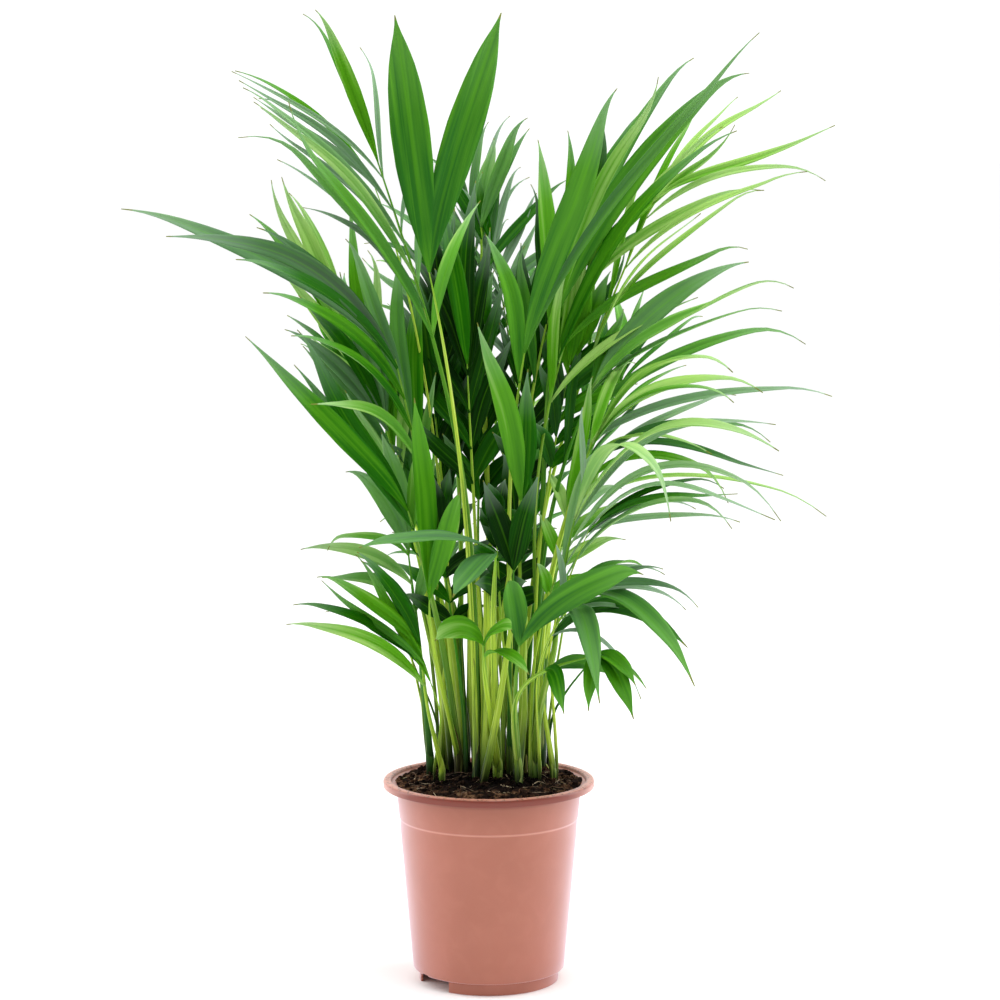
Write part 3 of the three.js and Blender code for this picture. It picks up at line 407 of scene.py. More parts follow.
fronds = [
    dict(of=6, stalk=[[-20, 338, -24], [-35, 400, -30], [-62, 462, -26]], shade=0.08,
         left=[6, [-117, 478, -110], [-134, 494, -80], [-138, 508, -20]],
         right=[4, [-8, 440, 45], [-30, 470, 50], [-64, 522, 20]],
         pair=[[-93, 543, -60], [-97, 541, 8]], wide=[8, 8, 5], lift=0.06, look=20, tone=0,
         slim=[0.9, 0.4], ashen=[0, 0.5, 0]),
    dict(of=6, stalk=[[-26, 370, -36], [-29, 385, -39], [-33, 399, -41]],
         pair=[[-51, 539, -78], [7, 541, -70]], wide=[12, 21], lift=0.01, look=12, tone=0,
         blunt=True),
    dict(of=3, stalk=[[-36, 285, -2], [-41, 320, -8], [-52, 352, -14]],
         left=[4, [-96, 322, -100], [-117, 380, -120], [-138, 408, -100]],
         right=[4, [-35, 400, 20], [-60, 418, 25], [-125, 428, 0]],
         pair=[[-177, 421, -110], [-201, 436, -50]], wide=[10, 13], lift=0.07, look=32, tone=1,
         ashen=[-0.15, -0.1, 0]),
    dict(of=5, stalk=[[-48, 310, 22], [-62, 338, 22], [-78, 360, 18]], shade=0.1,
         left=[3, [-100, 360, 10], [-115, 400, 5], [-124, 446, 10]],
         right=[3, [-60, 415, 50], [-75, 440, 45], [-105, 443, 40]],
         pair=[[-116, 450, 20], [-130, 432, 0]], wide=[8, 10], lift=0.03, look=20, tone=2),
    dict(of=3, stalk=[[-38, 240, 12], [-47, 280, 12], [-58, 318, 10]], slim=[0.75, 0.85],
         left=[4, [-83, 331, -20], [-98, 350, -10], [-110, 372, 0]],
         right=[5, [-28, 345, 20], [-40, 380, 28], [-70, 395, 30]],
         pair=[[-105, 386, 10], [-84, 398, 20]], wide=[10, 11], lift=0.05, look=25, tone=1),
    dict(of=4, stalk=[[-40, 250, -28], [-42, 258, -30], [-45, 266, -32]], shade=0.06,
         left=[1, [-110, 347, -40]], right=[1, [-37, 308, -50]],
         pair=[[-135, 364, -130], [-105, 370, -90]], wide=[9, 12], lift=0.0, look=25, tone=0),
    dict(of=4, stalk=[[-34, 205, -36], [-34, 210, -37], [-33, 216, -38]], shade=0.12,
         pair=[[-41, 330, -52], [-16, 279, -54]], wide=[9, 12], lift=0.0, look=8, tone=0,
         blunt=True),
    dict(of=2, stalk=[[-36, 160, -20], [-37, 175, -22], [-38, 190, -24]], shade=0.06,
         left=[3, [-115, 201, -60], [-108, 214, -52], [-93, 231, -45]],
         pair=[[-73, 244, -56], [-70, 240, -34]], wide=[8, 9], lift=0.08, look=32, tone=0),
    dict(of=1, stalk=[[-40, 200, 2], [-42, 222, -1], [-45, 245, -4]], shade=0.26,
         left=[3, [-94, 225, -30], [-107, 243, -10], [-90, 250, -50]],
         right=[2, [-20, 262, 40], [-40, 280, 40], [-50, 300, 30]],
         pair=[[-78, 291, -30], [-60, 310, 20]], wide=[8, 11], lift=0.1, look=28, tone=1),
    dict(of=9, stalk=[[3, 225, -44], [4, 234, -50], [4, 242, -56]],
         pair=[[-72, 246, -96], [-20, 219, -96]], wide=[9, 17], lift=0.06, look=55, tone=1,
         blunt=True),
    dict(of=9, stalk=[[-3, 178, -40], [-3, 184, -44], [-3, 190, -48]], shade=0.15,
         right=[1, [20, 172, -74]],
         pair=[[-30, 193, -78], [13, 199, -66]], wide=[11, 15], lift=0.2, look=50, tone=0,
         blunt=True),
    dict(of=10, stalk=[[15, 176, -38], [16, 183, -40], [17, 190, -43]], ashen=[0, 0, 0.06],
         pair=[[11, 229, -52], [86, 235, -90]], wide=[9, 15], lift=0.08, look=28, tone=0,
         blunt=True),
    dict(of=16, stalk=[[30, 190, -16], [34, 200, -20], [41, 207, -26]], shade=0.02,
         ashen=[0.06, 0.06, 0.07], right=[3, [108, 188, 0], [104, 200, -30], [85, 236, 10]],
         pair=[[115, 172, -100], [62, 158, -100]], wide=[10, 15], lift=0.26, look=55, tone=0,
         blunt=True),
    dict(of=10, stalk=[[21, 176, -46], [38, 184, -56], [60, 184, -66]],
         left=[2, [45, 150, -92], [50, 150, -95], [54, 152, -98]],
         right=[2, [70, 175, -40], [84, 170, -40], [90, 168, -50]],
         pair=[[82, 168, -90], [81, 150, -104]], wide=[9, 10.5], lift=0.18, look=50, tone=0,
         blunt=True),
    dict(of=13, stalk=[[37, 215, -22], [41, 240, -28], [48, 262, -34]], shade=0.16,
         slim=[0.7, 0.7], left=[2, [62, 300, 10], [66, 290, 0], [74, 282, -10]],
         right=[4, [138, 261, -120], [160, 262, -130], [158, 312, -80]],
         pair=[[105, 272, -186], [160, 301, -130]], wide=[8, 12], lift=0.2, look=58, tone=1,
         ashen=[0.2, 0.4, 0.05]),
    dict(of=14, stalk=[[39, 255, 0], [47, 280, -6], [58, 305, -12]], slim=[0.75, 0.75],
         left=[2, [60, 340, 40], [70, 350, 30], [76, 352, 20]],
         right=[4, [186, 267, -60], [122, 288, -130], [140, 328, -110]],
         pair=[[150, 336, -80], [136, 347, -130]], wide=[9, 11], lift=0.16, look=55, tone=2),
    dict(of=14, stalk=[[38, 290, 18], [46, 315, 16], [58, 335, 12]], shade=0.1, slim=[0.72, 0.72],
         left=[2, [56, 365, 50], [67, 371, 45], [77, 377, 40]],
         right=[3, [190, 333, 40], [172, 369, 20], [163, 378, 30]],
         pair=[[168, 396, -60], [143, 405, 20]], wide=[9, 15], lift=0.12, look=55, tone=1),
    dict(of=12, stalk=[[42, 325, 34], [58, 385, 32], [92, 440, 22]],
         left=[4, [60, 440, 70], [107, 482, 60], [137, 496, 50]],
         right=[4, [115, 430, -60], [165, 451, -70], [187, 457, -50]],
         pair=[[190, 474, 0], [162, 496, 30]], wide=[6, 6], lift=0.05, look=38, tone=2,
         slim=[0.8, 0.7]),
    dict(of=11, stalk=[[15, 330, -14], [17, 342, -16], [20, 354, -18]], shade=0.04,
         ashen=[0.04, 0.04, 0.04], left=[1, [0, 420, 20]],
         pair=[[70, 501, -110], [152, 528, -60]], wide=[9, 15, 6], lift=0.1, look=22, tone=0),
    dict(of=15, stalk=[[33, 350, 12], [34, 362, 10], [37, 375, 8]], shade=0.08,
         ashen=[0.04, 0.1, 0.04], left=[1, [30, 470, 40]],
         right=[2, [137, 477, 0], [125, 490, 10], [113, 520, 40]],
         pair=[[100, 500, -70], [141, 514, 10]], wide=[10, 8, 15], lift=0.1, look=25, tone=0),
    dict(of=8, stalk=[[-4, 345, 44], [-6, 385, 50], [-4, 425, 54]],
         left=[5, [-70, 400, 80], [-60, 440, 85], [-34, 466, 75]],
         right=[4, [45, 400, 90], [50, 440, 80], [20, 476, 70]],
         pair=[[18, 485, 50], [5, 472, 60]], wide=[7, 9], lift=0.04, look=15, tone=1),
    dict(of=7, stalk=[[16, 255, -14], [17, 263, -16], [18, 272, -18]],
         pair=[[-8, 374, -36], [21, 345, -14]], wide=[9, 13], lift=0.0, look=12, tone=0),
    dict(of=11, stalk=[[13, 215, -14], [14, 225, -18], [14, 233, -22]],
         pair=[[28, 287, -44], [-4, 284, -46]], wide=[9, 13], lift=0.0, look=12, tone=3),
    dict(of=7, stalk=[[-8, 262, 8], [-10, 310, 12], [-12, 350, 16]],
         left=[4, [-45, 320, 20], [-50, 370, 30], [-45, 420, 40]],
         right=[4, [18, 330, 34], [12, 380, 44], [2, 425, 44]],
         pair=[[-26, 440, 34], [-8, 452, 40]], wide=[10, 12], lift=0.0, look=14, tone=3),
    dict(of=17, stalk=[[-16, 300, 62], [-20, 345, 82], [-26, 385, 106]],
         left=[5, [-48, 345, 135], [-66, 385, 150], [-56, 425, 165]],
         right=[5, [2, 360, 140], [6, 395, 155], [-10, 425, 170]],
         pair=[[-42, 436, 184], [-24, 440, 187]], wide=[9, 11], lift=0.06, look=130, tone=0),
    dict(of=18, stalk=[[18, 290, 66], [24, 335, 86], [32, 372, 108]],
         left=[5, [4, 345, 140], [8, 380, 155], [16, 405, 165]],
         right=[5, [60, 330, 140], [72, 370, 150], [62, 405, 165]],
         pair=[[45, 428, 180], [28, 424, 184]], wide=[9, 11], lift=0.06, look=130, tone=1),
    dict(of=18, stalk=[[14, 225, 66], [18, 250, 84], [24, 270, 106]],
         left=[4, [0, 245, 140], [-4, 272, 160], [6, 298, 172]],
         right=[4, [46, 245, 135], [52, 278, 150], [46, 306, 168]],
         pair=[[30, 316, 186], [14, 312, 184]], wide=[9, 12], lift=0.12, look=120, tone=0),
    dict(of=17, stalk=[[-20, 222, 62], [-26, 246, 80], [-34, 264, 100]],
         left=[4, [-58, 240, 125], [-62, 272, 140], [-56, 300, 154]],
         right=[4, [-8, 250, 130], [-8, 280, 150], [-18, 302, 164]],
         pair=[[-45, 318, 178], [-28, 314, 180]], wide=[9, 12], lift=0.12, look=120, tone=1),
    dict(of=8, stalk=[[0, 250, 64], [2, 290, 84], [4, 322, 110]],
         left=[4, [-26, 290, 140], [-30, 320, 155], [-22, 350, 170]],
         right=[4, [30, 290, 145], [34, 320, 155], [26, 350, 170]],
         pair=[[-10, 366, 186], [14, 364, 184]], wide=[9, 11], lift=0.08, look=125, tone=2),
    dict(of=5, stalk=[[-50, 285, 50], [-64, 314, 66], [-80, 340, 86]],
         left=[4, [-86, 322, 110], [-100, 350, 125], [-110, 372, 120]],
         right=[4, [-46, 350, 130], [-56, 378, 150], [-68, 396, 150]],
         pair=[[-94, 388, 150], [-80, 398, 160]], wide=[9, 11], lift=0.06, look=125, tone=0),
    dict(of=15, stalk=[[48, 285, 50], [60, 314, 68], [74, 340, 88]],
         left=[4, [48, 350, 130], [60, 375, 150], [70, 388, 155]],
         right=[4, [95, 335, 110], [112, 352, 125], [116, 374, 140]],
         pair=[[100, 384, 150], [86, 390, 160]], wide=[9, 11], lift=0.06, look=125, tone=0),
    dict(of=3, stalk=[[-24, 260, 18], [-27, 299, 24], [-31, 332, 28]],
         left=[3, [-57, 305, 4], [-63, 344, 30], [-51, 382, 46]],
         right=[5, [-10, 310, 30], [-7, 349, 44], [-16, 382, 32]],
         pair=[[-40, 399, 22], [-27, 403, 36]], wide=[11, 13], lift=0.03, look=20, tone=3,
         thin=0.7),
    dict(of=7, stalk=[[-6, 260, 30], [-4, 305, 38], [-6, 344, 42]],
         left=[5, [-27, 310, 16], [-30, 355, 44], [-21, 388, 60]],
         right=[5, [17, 305, 42], [20, 344, 58], [11, 382, 46]],
         pair=[[-10, 403, 36], [2, 400, 50]], wide=[11, 13], lift=0.02, look=14, tone=3, thin=0.7),
    dict(of=12, stalk=[[20, 271, 30], [22, 310, 34], [23, 349, 36]],
         left=[5, [1, 310, 16], [0, 355, 40], [6, 388, 54]],
         right=[5, [42, 305, 42], [50, 344, 54], [45, 382, 40]],
         pair=[[17, 415, 30], [31, 418, 44]], wide=[10, 12], lift=0.03, look=16, tone=3, thin=0.75),
    dict(of=14, stalk=[[33, 282, 18], [39, 316, 22], [45, 349, 24]],
         left=[4, [23, 316, 4], [26, 360, 28], [33, 393, 42]],
         right=[5, [67, 310, 30], [84, 338, 42], [83, 366, 28]],
         pair=[[56, 404, 18], [67, 399, 32]], wide=[10, 12], lift=0.05, look=25, tone=0, thin=0.7),
    dict(of=4, stalk=[[-19, 193, 6], [-23, 221, 10], [-27, 249, 14]],
         left=[4, [-49, 221, -8], [-52, 249, 16], [-49, 277, 32]],
         right=[4, [1, 215, 18], [4, 243, 30], [-5, 271, 18]],
         pair=[[-32, 288, 8], [-21, 291, 22]], wide=[11, 13], lift=0.03, look=18, tone=3, thin=0.6),
    dict(of=11, stalk=[[12, 204, 14], [13, 232, 20], [15, 260, 24]],
         left=[4, [-5, 221, 0], [-6, 249, 26], [1, 282, 42]],
         right=[4, [34, 221, 26], [37, 249, 40], [31, 282, 28]],
         pair=[[9, 299, 18], [22, 299, 32]], wide=[11, 13], lift=0.03, look=16, tone=3, thin=0.6),
    dict(of=13, stalk=[[31, 210, 4], [37, 238, 8], [45, 266, 10]],
         left=[3, [26, 238, -10], [28, 266, 14], [34, 288, 28]],
         right=[4, [62, 232, 16], [76, 260, 28], [67, 288, 14]],
         pair=[[56, 305, 4], [64, 296, 18]], wide=[8, 10], lift=0.05, look=28, tone=2, thin=0.55),
    dict(of=8, stalk=[[15, 338, 46], [9, 382, 52], [1, 415, 56]],
         left=[6, [-21, 382, 32], [-24, 420, 58], [-18, 445, 74]],
         right=[5, [31, 388, 58], [31, 426, 72], [17, 456, 60]],
         pair=[[-6, 453, 50], [6, 464, 64]], wide=[5, 6], lift=0.04, look=15, tone=1, thin=0.7),
    dict(of=5, stalk=[[-15, 288, 40], [-19, 327, 46], [-24, 366, 50]],
         left=[5, [-46, 327, 26], [-52, 371, 52], [-46, 404, 68]],
         right=[5, [1, 338, 52], [4, 382, 66], [-5, 415, 54]],
         pair=[[-32, 429, 44], [-18, 434, 58]], wide=[9, 11], lift=0.03, look=18, tone=3,
         thin=0.65),
    dict(of=10, stalk=[[6, 215, -4], [5, 238, -2], [4, 260, 0]],
         left=[3, [-10, 226, -18], [-11, 243, 4], [-8, 266, 18]],
         right=[3, [23, 226, 8], [24, 243, 18], [19, 266, 4]],
         pair=[[0, 282, -6], [9, 284, 8]], wide=[12, 14], lift=0.02, look=12, tone=3, thin=0.55),
    dict(of=8, stalk=[[-5, 366, 60], [-6, 399, 66], [-10, 429, 70]],
         left=[6, [-32, 429, 46], [-33, 453, 72], [-27, 470, 88]],
         right=[4, [13, 429, 72], [18, 464, 86], [9, 486, 74]],
         pair=[[-18, 480, 64], [-2, 481, 78]], wide=[4, 5], lift=0.05, look=20, tone=1, thin=0.5),
    dict(of=3, stalk=[[-43, 382, 10], [-51, 420, 8], [-65, 451, 4]], ashen=[0.1, 0.4, 0],
         left=[5, [-103, 437, -4], [-124, 478, 14], [-130, 491, 22]],
         pair=[[-137, 510, -2], [-124, 496, 12]], wide=[4, 4.5], lift=0.06, look=35, tone=1,
         thin=0.5),
    dict(of=2, stalk=[[-29, 159, -26], [-33, 170, -28], [-36, 179, -30]],
         left=[1, [-75, 244, -22]],
         pair=[[-95, 225, -36], [-88, 215, -22]], wide=[7, 5], lift=0.03, look=20, tone=0,
         thin=0.45),
    dict(of=14, stalk=[[40, 238, -20], [51, 271, -26], [64, 299, -30]], left=[1, [48, 327, -20]],
         right=[2, [139, 260, -8], [156, 310, -6], [136, 330, -26]],
         pair=[[156, 311, -36], [161, 282, -22]], wide=[4, 4.5], lift=0.1, look=45, tone=1,
         thin=0.5),
    dict(of=16, stalk=[[40, 215, -30], [48, 238, -40], [56, 255, -46]],
         right=[2, [95, 234, -18], [138, 261, -20], [117, 268, -42]],
         pair=[[137, 271, -52], [130, 284, -38]], wide=[4, 4], lift=0.12, look=45, tone=1,
         thin=0.5),
    dict(of=15, stalk=[[31, 316, 10], [39, 360, 14], [56, 399, 18]],
         left=[4, [39, 404, -4], [56, 442, 20], [83, 464, 36]],
         right=[3, [116, 382, 22], [141, 418, 34], [149, 448, 22]],
         pair=[[127, 480, 12], [140, 472, 26]], wide=[6, 6.5], lift=0.06, look=35, tone=2,
         thin=0.6),
    dict(of=12, stalk=[[23, 327, 24], [31, 371, 30], [42, 410, 34]],
         left=[3, [17, 415, 10], [28, 448, 36], [45, 475, 52]],
         right=[4, [83, 410, 36], [97, 442, 50], [100, 475, 38]],
         pair=[[67, 480, 28], [83, 486, 42]], wide=[7, 9], lift=0.05, look=25, tone=0, thin=0.6),
    dict(of=13, stalk=[[33, 193, -40], [40, 208, -50], [49, 215, -56]], left=[1, [40, 249, -44]],
         right=[3, [84, 164, -28], [102, 193, -30], [112, 210, -52]],
         pair=[[118, 215, -62], [97, 233, -48]], wide=[4, 4.5], lift=0.2, look=50, tone=1,
         thin=0.5),
]
eye = np.array([6.0, -1700.0, 474.0])
up = np.array([0.0, 0.0, 1.0])
root_z, clear_z = 100.0, 116.4
stalk_steps, midrib_steps = 16, 6
first_leaf = stalk_steps + 1
last_station = first_leaf + midrib_steps
cane_r, stalk_r, tip_r = 3.3, 1.45, 1.3
rise_share, lean_share = 0.42, 0.36
beside_x, beside_y = 4.5, 3.5


def seen(spot):
    """Where [x, z, y] is: on the eye's line to (x, z) in the pot's plane, y behind that plane."""
    x, z, y = spot
    return (np.array([x, 0.0, z]) - eye) * (1 - y / eye[1]) + eye


def unit(way):
    """The same way, one long."""
    return way / (np.linalg.norm(way) or 1)


def bezier(handles, t):
    """A point on the curve with three or four handles."""
    while len(handles) > 1:
        handles = [a + (b - a) * t for a, b in zip(handles, handles[1:])]
    return handles[0]


def station_r(i):
    """Radius of a common stalk at one of its stations, from the soil to the midrib's end."""
    if i <= stalk_steps:
        return stalk_r + (cane_r - stalk_r) * (1 - i / stalk_steps) ** 1.4
    return stalk_r + (tip_r - stalk_r) * (i - stalk_steps) / midrib_steps


lines = []
for row, turn in zip(fronds, np.random.default_rng(4).random(len(fronds)) * 6.3):
    x, y = roots[row["of"] - 1]
    if "thin" in row:
        x, y = x + beside_x * math.cos(turn), y + beside_y * math.sin(turn)
    foot = np.array([x, y, clear_z])
    crown, bend, end = (seen(spot) for spot in row["stalk"])
    reach, onward = np.linalg.norm(crown - foot), unit(bend - crown)
    handles = [foot, foot + up * reach * rise_share, crown - onward * reach * lean_share, crown]
    lines.append([np.array([x, y, root_z])]
                 + [bezier(handles, t) for t in np.arange(stalk_steps) / stalk_steps]
                 + [bezier([crown, bend, end], t) for t in np.linspace(0, 1, midrib_steps + 1)])
lines = np.array(lines)

# Stalks of different seedlings lean away from each other until they stand clear.
seedling = np.array([row["of"] for row in fronds])
firm = sum("thin" not in row for row in fronds)
stalk_clear, firm_rounds, thin_rounds, thin_room = 1.5, 70, 12, 0.6
room = np.array([station_r(max(0, i - 1)) for i in range(last_station + 1)]) * 2 + stalk_clear
free = np.zeros(last_station + 1, bool)
free[2:-1] = True


def eased(lines, held, rounds, room):
    """The first held lines stay where they are; the others make way for all their neighbours."""
    give, most, stiff, follow = 0.3, 1.5, 0.7, 0.15
    stranger = seedling[:len(lines), None] != seedling[None, :len(lines)]
    for _ in range(rounds):
        low, high = lines[:, :-1, 2], lines[:, 1:, 2]
        level = lines[:, :, 2][:, :, None, None]
        holds = (low <= level) & (level <= high) & (high > low)
        first = holds.argmax(3)
        other = np.arange(len(lines))[None, None, :]
        start, stop = lines[other, first], lines[other, first + 1]
        rise = np.where(stop[..., 2] > start[..., 2], stop[..., 2] - start[..., 2], 1)
        share = (lines[:, :, None, 2] - start[..., 2]) / rise
        away = lines[:, :, None] - (start + (stop - start) * share[..., None])
        gap = np.linalg.norm(away, axis=3)
        short = room[None, :, None] - gap
        counts = holds.any(3) & (short > 0) & stranger[:, None, :] & free[None, :, None]
        push = np.where(counts, np.minimum(short * give, most) / np.where(gap > 0, gap, 1), 0)
        moved = lines + (away * push[..., None]).sum(2)
        moved[:, 3:-1] = moved[:, 3:-1] * stiff + (moved[:, 2:-2] + moved[:, 4:]) * follow
        lines = np.concatenate([lines[:held], moved[held:]])
    return lines


lines = np.concatenate([eased(lines[:firm], 0, firm_rounds, room), lines[firm:]])
lines = eased(lines, firm, thin_rounds, room * thin_room)

# ---------------------------------------------------------------------------------------------
# The stalks: each frond's cane, leaf stalk and midrib in one, grooved on top, yellow-green and
# finely streaked, greener and thicker towards the soil, where it grows out of the seedling; painted
# shade darkens each to near black just above the soil.
rings_a_step, stalk_sides = 3, 10
stalk_rings = last_station * rings_a_step


def smooth_path(points, pieces):
    """The points with more between them, on a curve that runs through every one."""
    before = np.vstack([points[:1] * 2 - points[1:2], points, points[-1:] * 2 - points[-2:-1]])
    out = []
    for a, b, c, d in zip(before, before[1:], before[2:], before[3:]):
        for t in np.arange(pieces) / pieces:
            out.append(0.5 * (2 * b + (c - a) * t + (2 * a - 5 * b + 4 * c - d) * t * t
                              + (3 * b - a - 3 * c + d) * t ** 3))
    return np.array(out + [points[-1]])


def flat_grid(bm, across, steps, uv_at):
    """A flat grid to roll or fold, one by one in size, with its UVs laid, and its tint layer."""
    uv = bm.loops.layers.uv.verify()
    paint = bm.verts.layers.float_color.get("tint") or bm.verts.layers.float_color.new("tint")
    grid = bmesh.ops.create_grid(bm, x_segments=across, y_segments=steps, size=0.5,
                                 calc_uvs=True)["verts"]
    for face in {f for v in grid for f in v.link_faces}:
        for loop in face.loops:
            loop[uv].uv = uv_at(loop.vert.co.x, loop.vert.co.y + 0.5)
    return grid, paint


def rolled(bm, path, girths, sides, facing, groove, tint, number, slant=0.0):
    """A grid rolled into a round rod along a path in millimetres and closed at its seam.

    tint gives the colour by the share of the length and the turn; number moves the streaks on;
    slant is the share of the length by which the rod is shorter on its far side."""
    steps = len(path) - 1
    lengths = np.concatenate([[0], np.cumsum(np.linalg.norm(np.diff(path, axis=0), axis=1))])
    grid, paint = flat_grid(
        bm, sides, steps, lambda x, y: (x + 0.5 + number, lengths[round(y * steps)] * 0.01))
    ways = [unit(path[min(i + 1, steps)] - path[max(i - 1, 0)]) for i in range(steps + 1)]
    for spot in grid:
        turn, i = (spot.co.x + 0.5) * 2 * math.pi, round((spot.co.y + 0.5) * steps)
        side = unit(np.cross(ways[i], facing))
        front = np.cross(side, ways[i])
        r = girths[i] * (1 - groove * max(0.0, math.cos(turn)) ** 6)
        back = i * (1 - slant * (0.5 - 0.5 * math.cos(turn)))
        before, after = path[int(back)], path[min(int(back) + 1, steps)]
        centre = before + (after - before) * (back % 1)
        spot[paint] = tint(i / steps, turn)
        spot.co = Vector(centre + (front * math.cos(turn) + side * math.sin(turn)) * r) * MM
    bmesh.ops.remove_doubles(bm, verts=grid, dist=2e-6)


def lengthwise(tree, across, along, detail, rough):
    """Noise drawn out along the piece's own length."""
    way = node(tree, "ShaderNodeMapping", Scale=(across, along, 1))
    tree.links.new(coordinates(tree, "UV"), way.inputs["Vector"])
    return texture(tree, way.outputs[0], "Noise", Scale=1.0, Detail=detail, Roughness=rough)


def tint_parts(tree):
    """Red, green, blue and alpha of the tint that is painted on the mesh."""
    paint = node(tree, "ShaderNodeAttribute", attribute_name="tint")
    parts = node(tree, "ShaderNodeSeparateColor")
    tree.links.new(paint.outputs["Color"], parts.inputs[0])
    return *parts.outputs, paint.outputs["Alpha"]


stalk_skin, tree, shader = finish(
    "stalk_skin", Roughness=0.35, IOR=1.42, Specular_IOR_Level=0.2, Subsurface_Weight=0.1,
    Subsurface_Scale=0.003, Subsurface_Radius=(0.6, 1.0, 0.25), Coat_Weight=0.03,
    Coat_Roughness=0.2)
streaks = lengthwise(tree, 6, 1.0, 4, 0.6)
height, green, dry, _ = tint_parts(tree)
# Painted shade: both greens darken to near black at the foot, just above the soil, where the stalks
# crowd and shade each other.
skin = ramp(tree, height, (0.04, linear(24, 32, 10)), (0.085, linear(98, 128, 34)),
            (0.15, linear(166, 194, 58)), (0.6, linear(184, 212, 68)), (1.0, linear(122, 172, 40)))
deep_skin = ramp(tree, height, (0.04, linear(8, 12, 6)), (0.09, linear(22, 52, 12)),
                 (0.18, linear(38, 92, 16)), (0.5, linear(60, 126, 22)), (1.0, linear(72, 136, 26)))
skin = mix(tree, green, skin, deep_skin)
skin = mix(tree, mask(tree, streaks, (0.5, 0), (0.62, 0.75)), skin, deep_skin)
# Pale streaks: partly the skin's own light lines, partly painted highlights running along the
# stalk.
skin = mix(tree, mask(tree, streaks, (0.36, 0.35), (0.44, 0)), skin, linear(220, 236, 140))
skin = mix(tree, dry, skin, linear(74, 46, 26))
dress(tree, shader, skin, streaks, 0.25, 0.0004)

facings = [np.array([0, -math.cos(a), math.sin(a)])
           for a in (math.radians(row["look"]) for row in fronds)]
# A common stalk, station by station from below the soil: how thick it is there.
girth_at, girth_mm = (0, 1, 2.2, 5, 12, 17, 23), (2.1, 2.2, 2.6, 2.2, 1.65, 1.35, 0.5)
stalk_girths = np.interp(np.arange(stalk_rings + 1) / rings_a_step, girth_at, girth_mm)
stalk_girths[0] = 0
# By tone: how green the stalk is.
stalk_green = (0.25, 0.45, 0.1, 0.6)


def stoutness(k):
    """How stout a frond's stalk is, next to the common one: each a little more or less."""
    return fronds[k].get("thin", 1.0) * (0.84 + 0.2 * math.sin(k * 5.1))


def greenness(k):
    """How green a stalk is, from yellow-green to deep green: by its tone, and by its number."""
    return min(1, max(0, stalk_green[fronds[k]["tone"]] + 0.7 * math.sin(k * 2.3 + 2)))


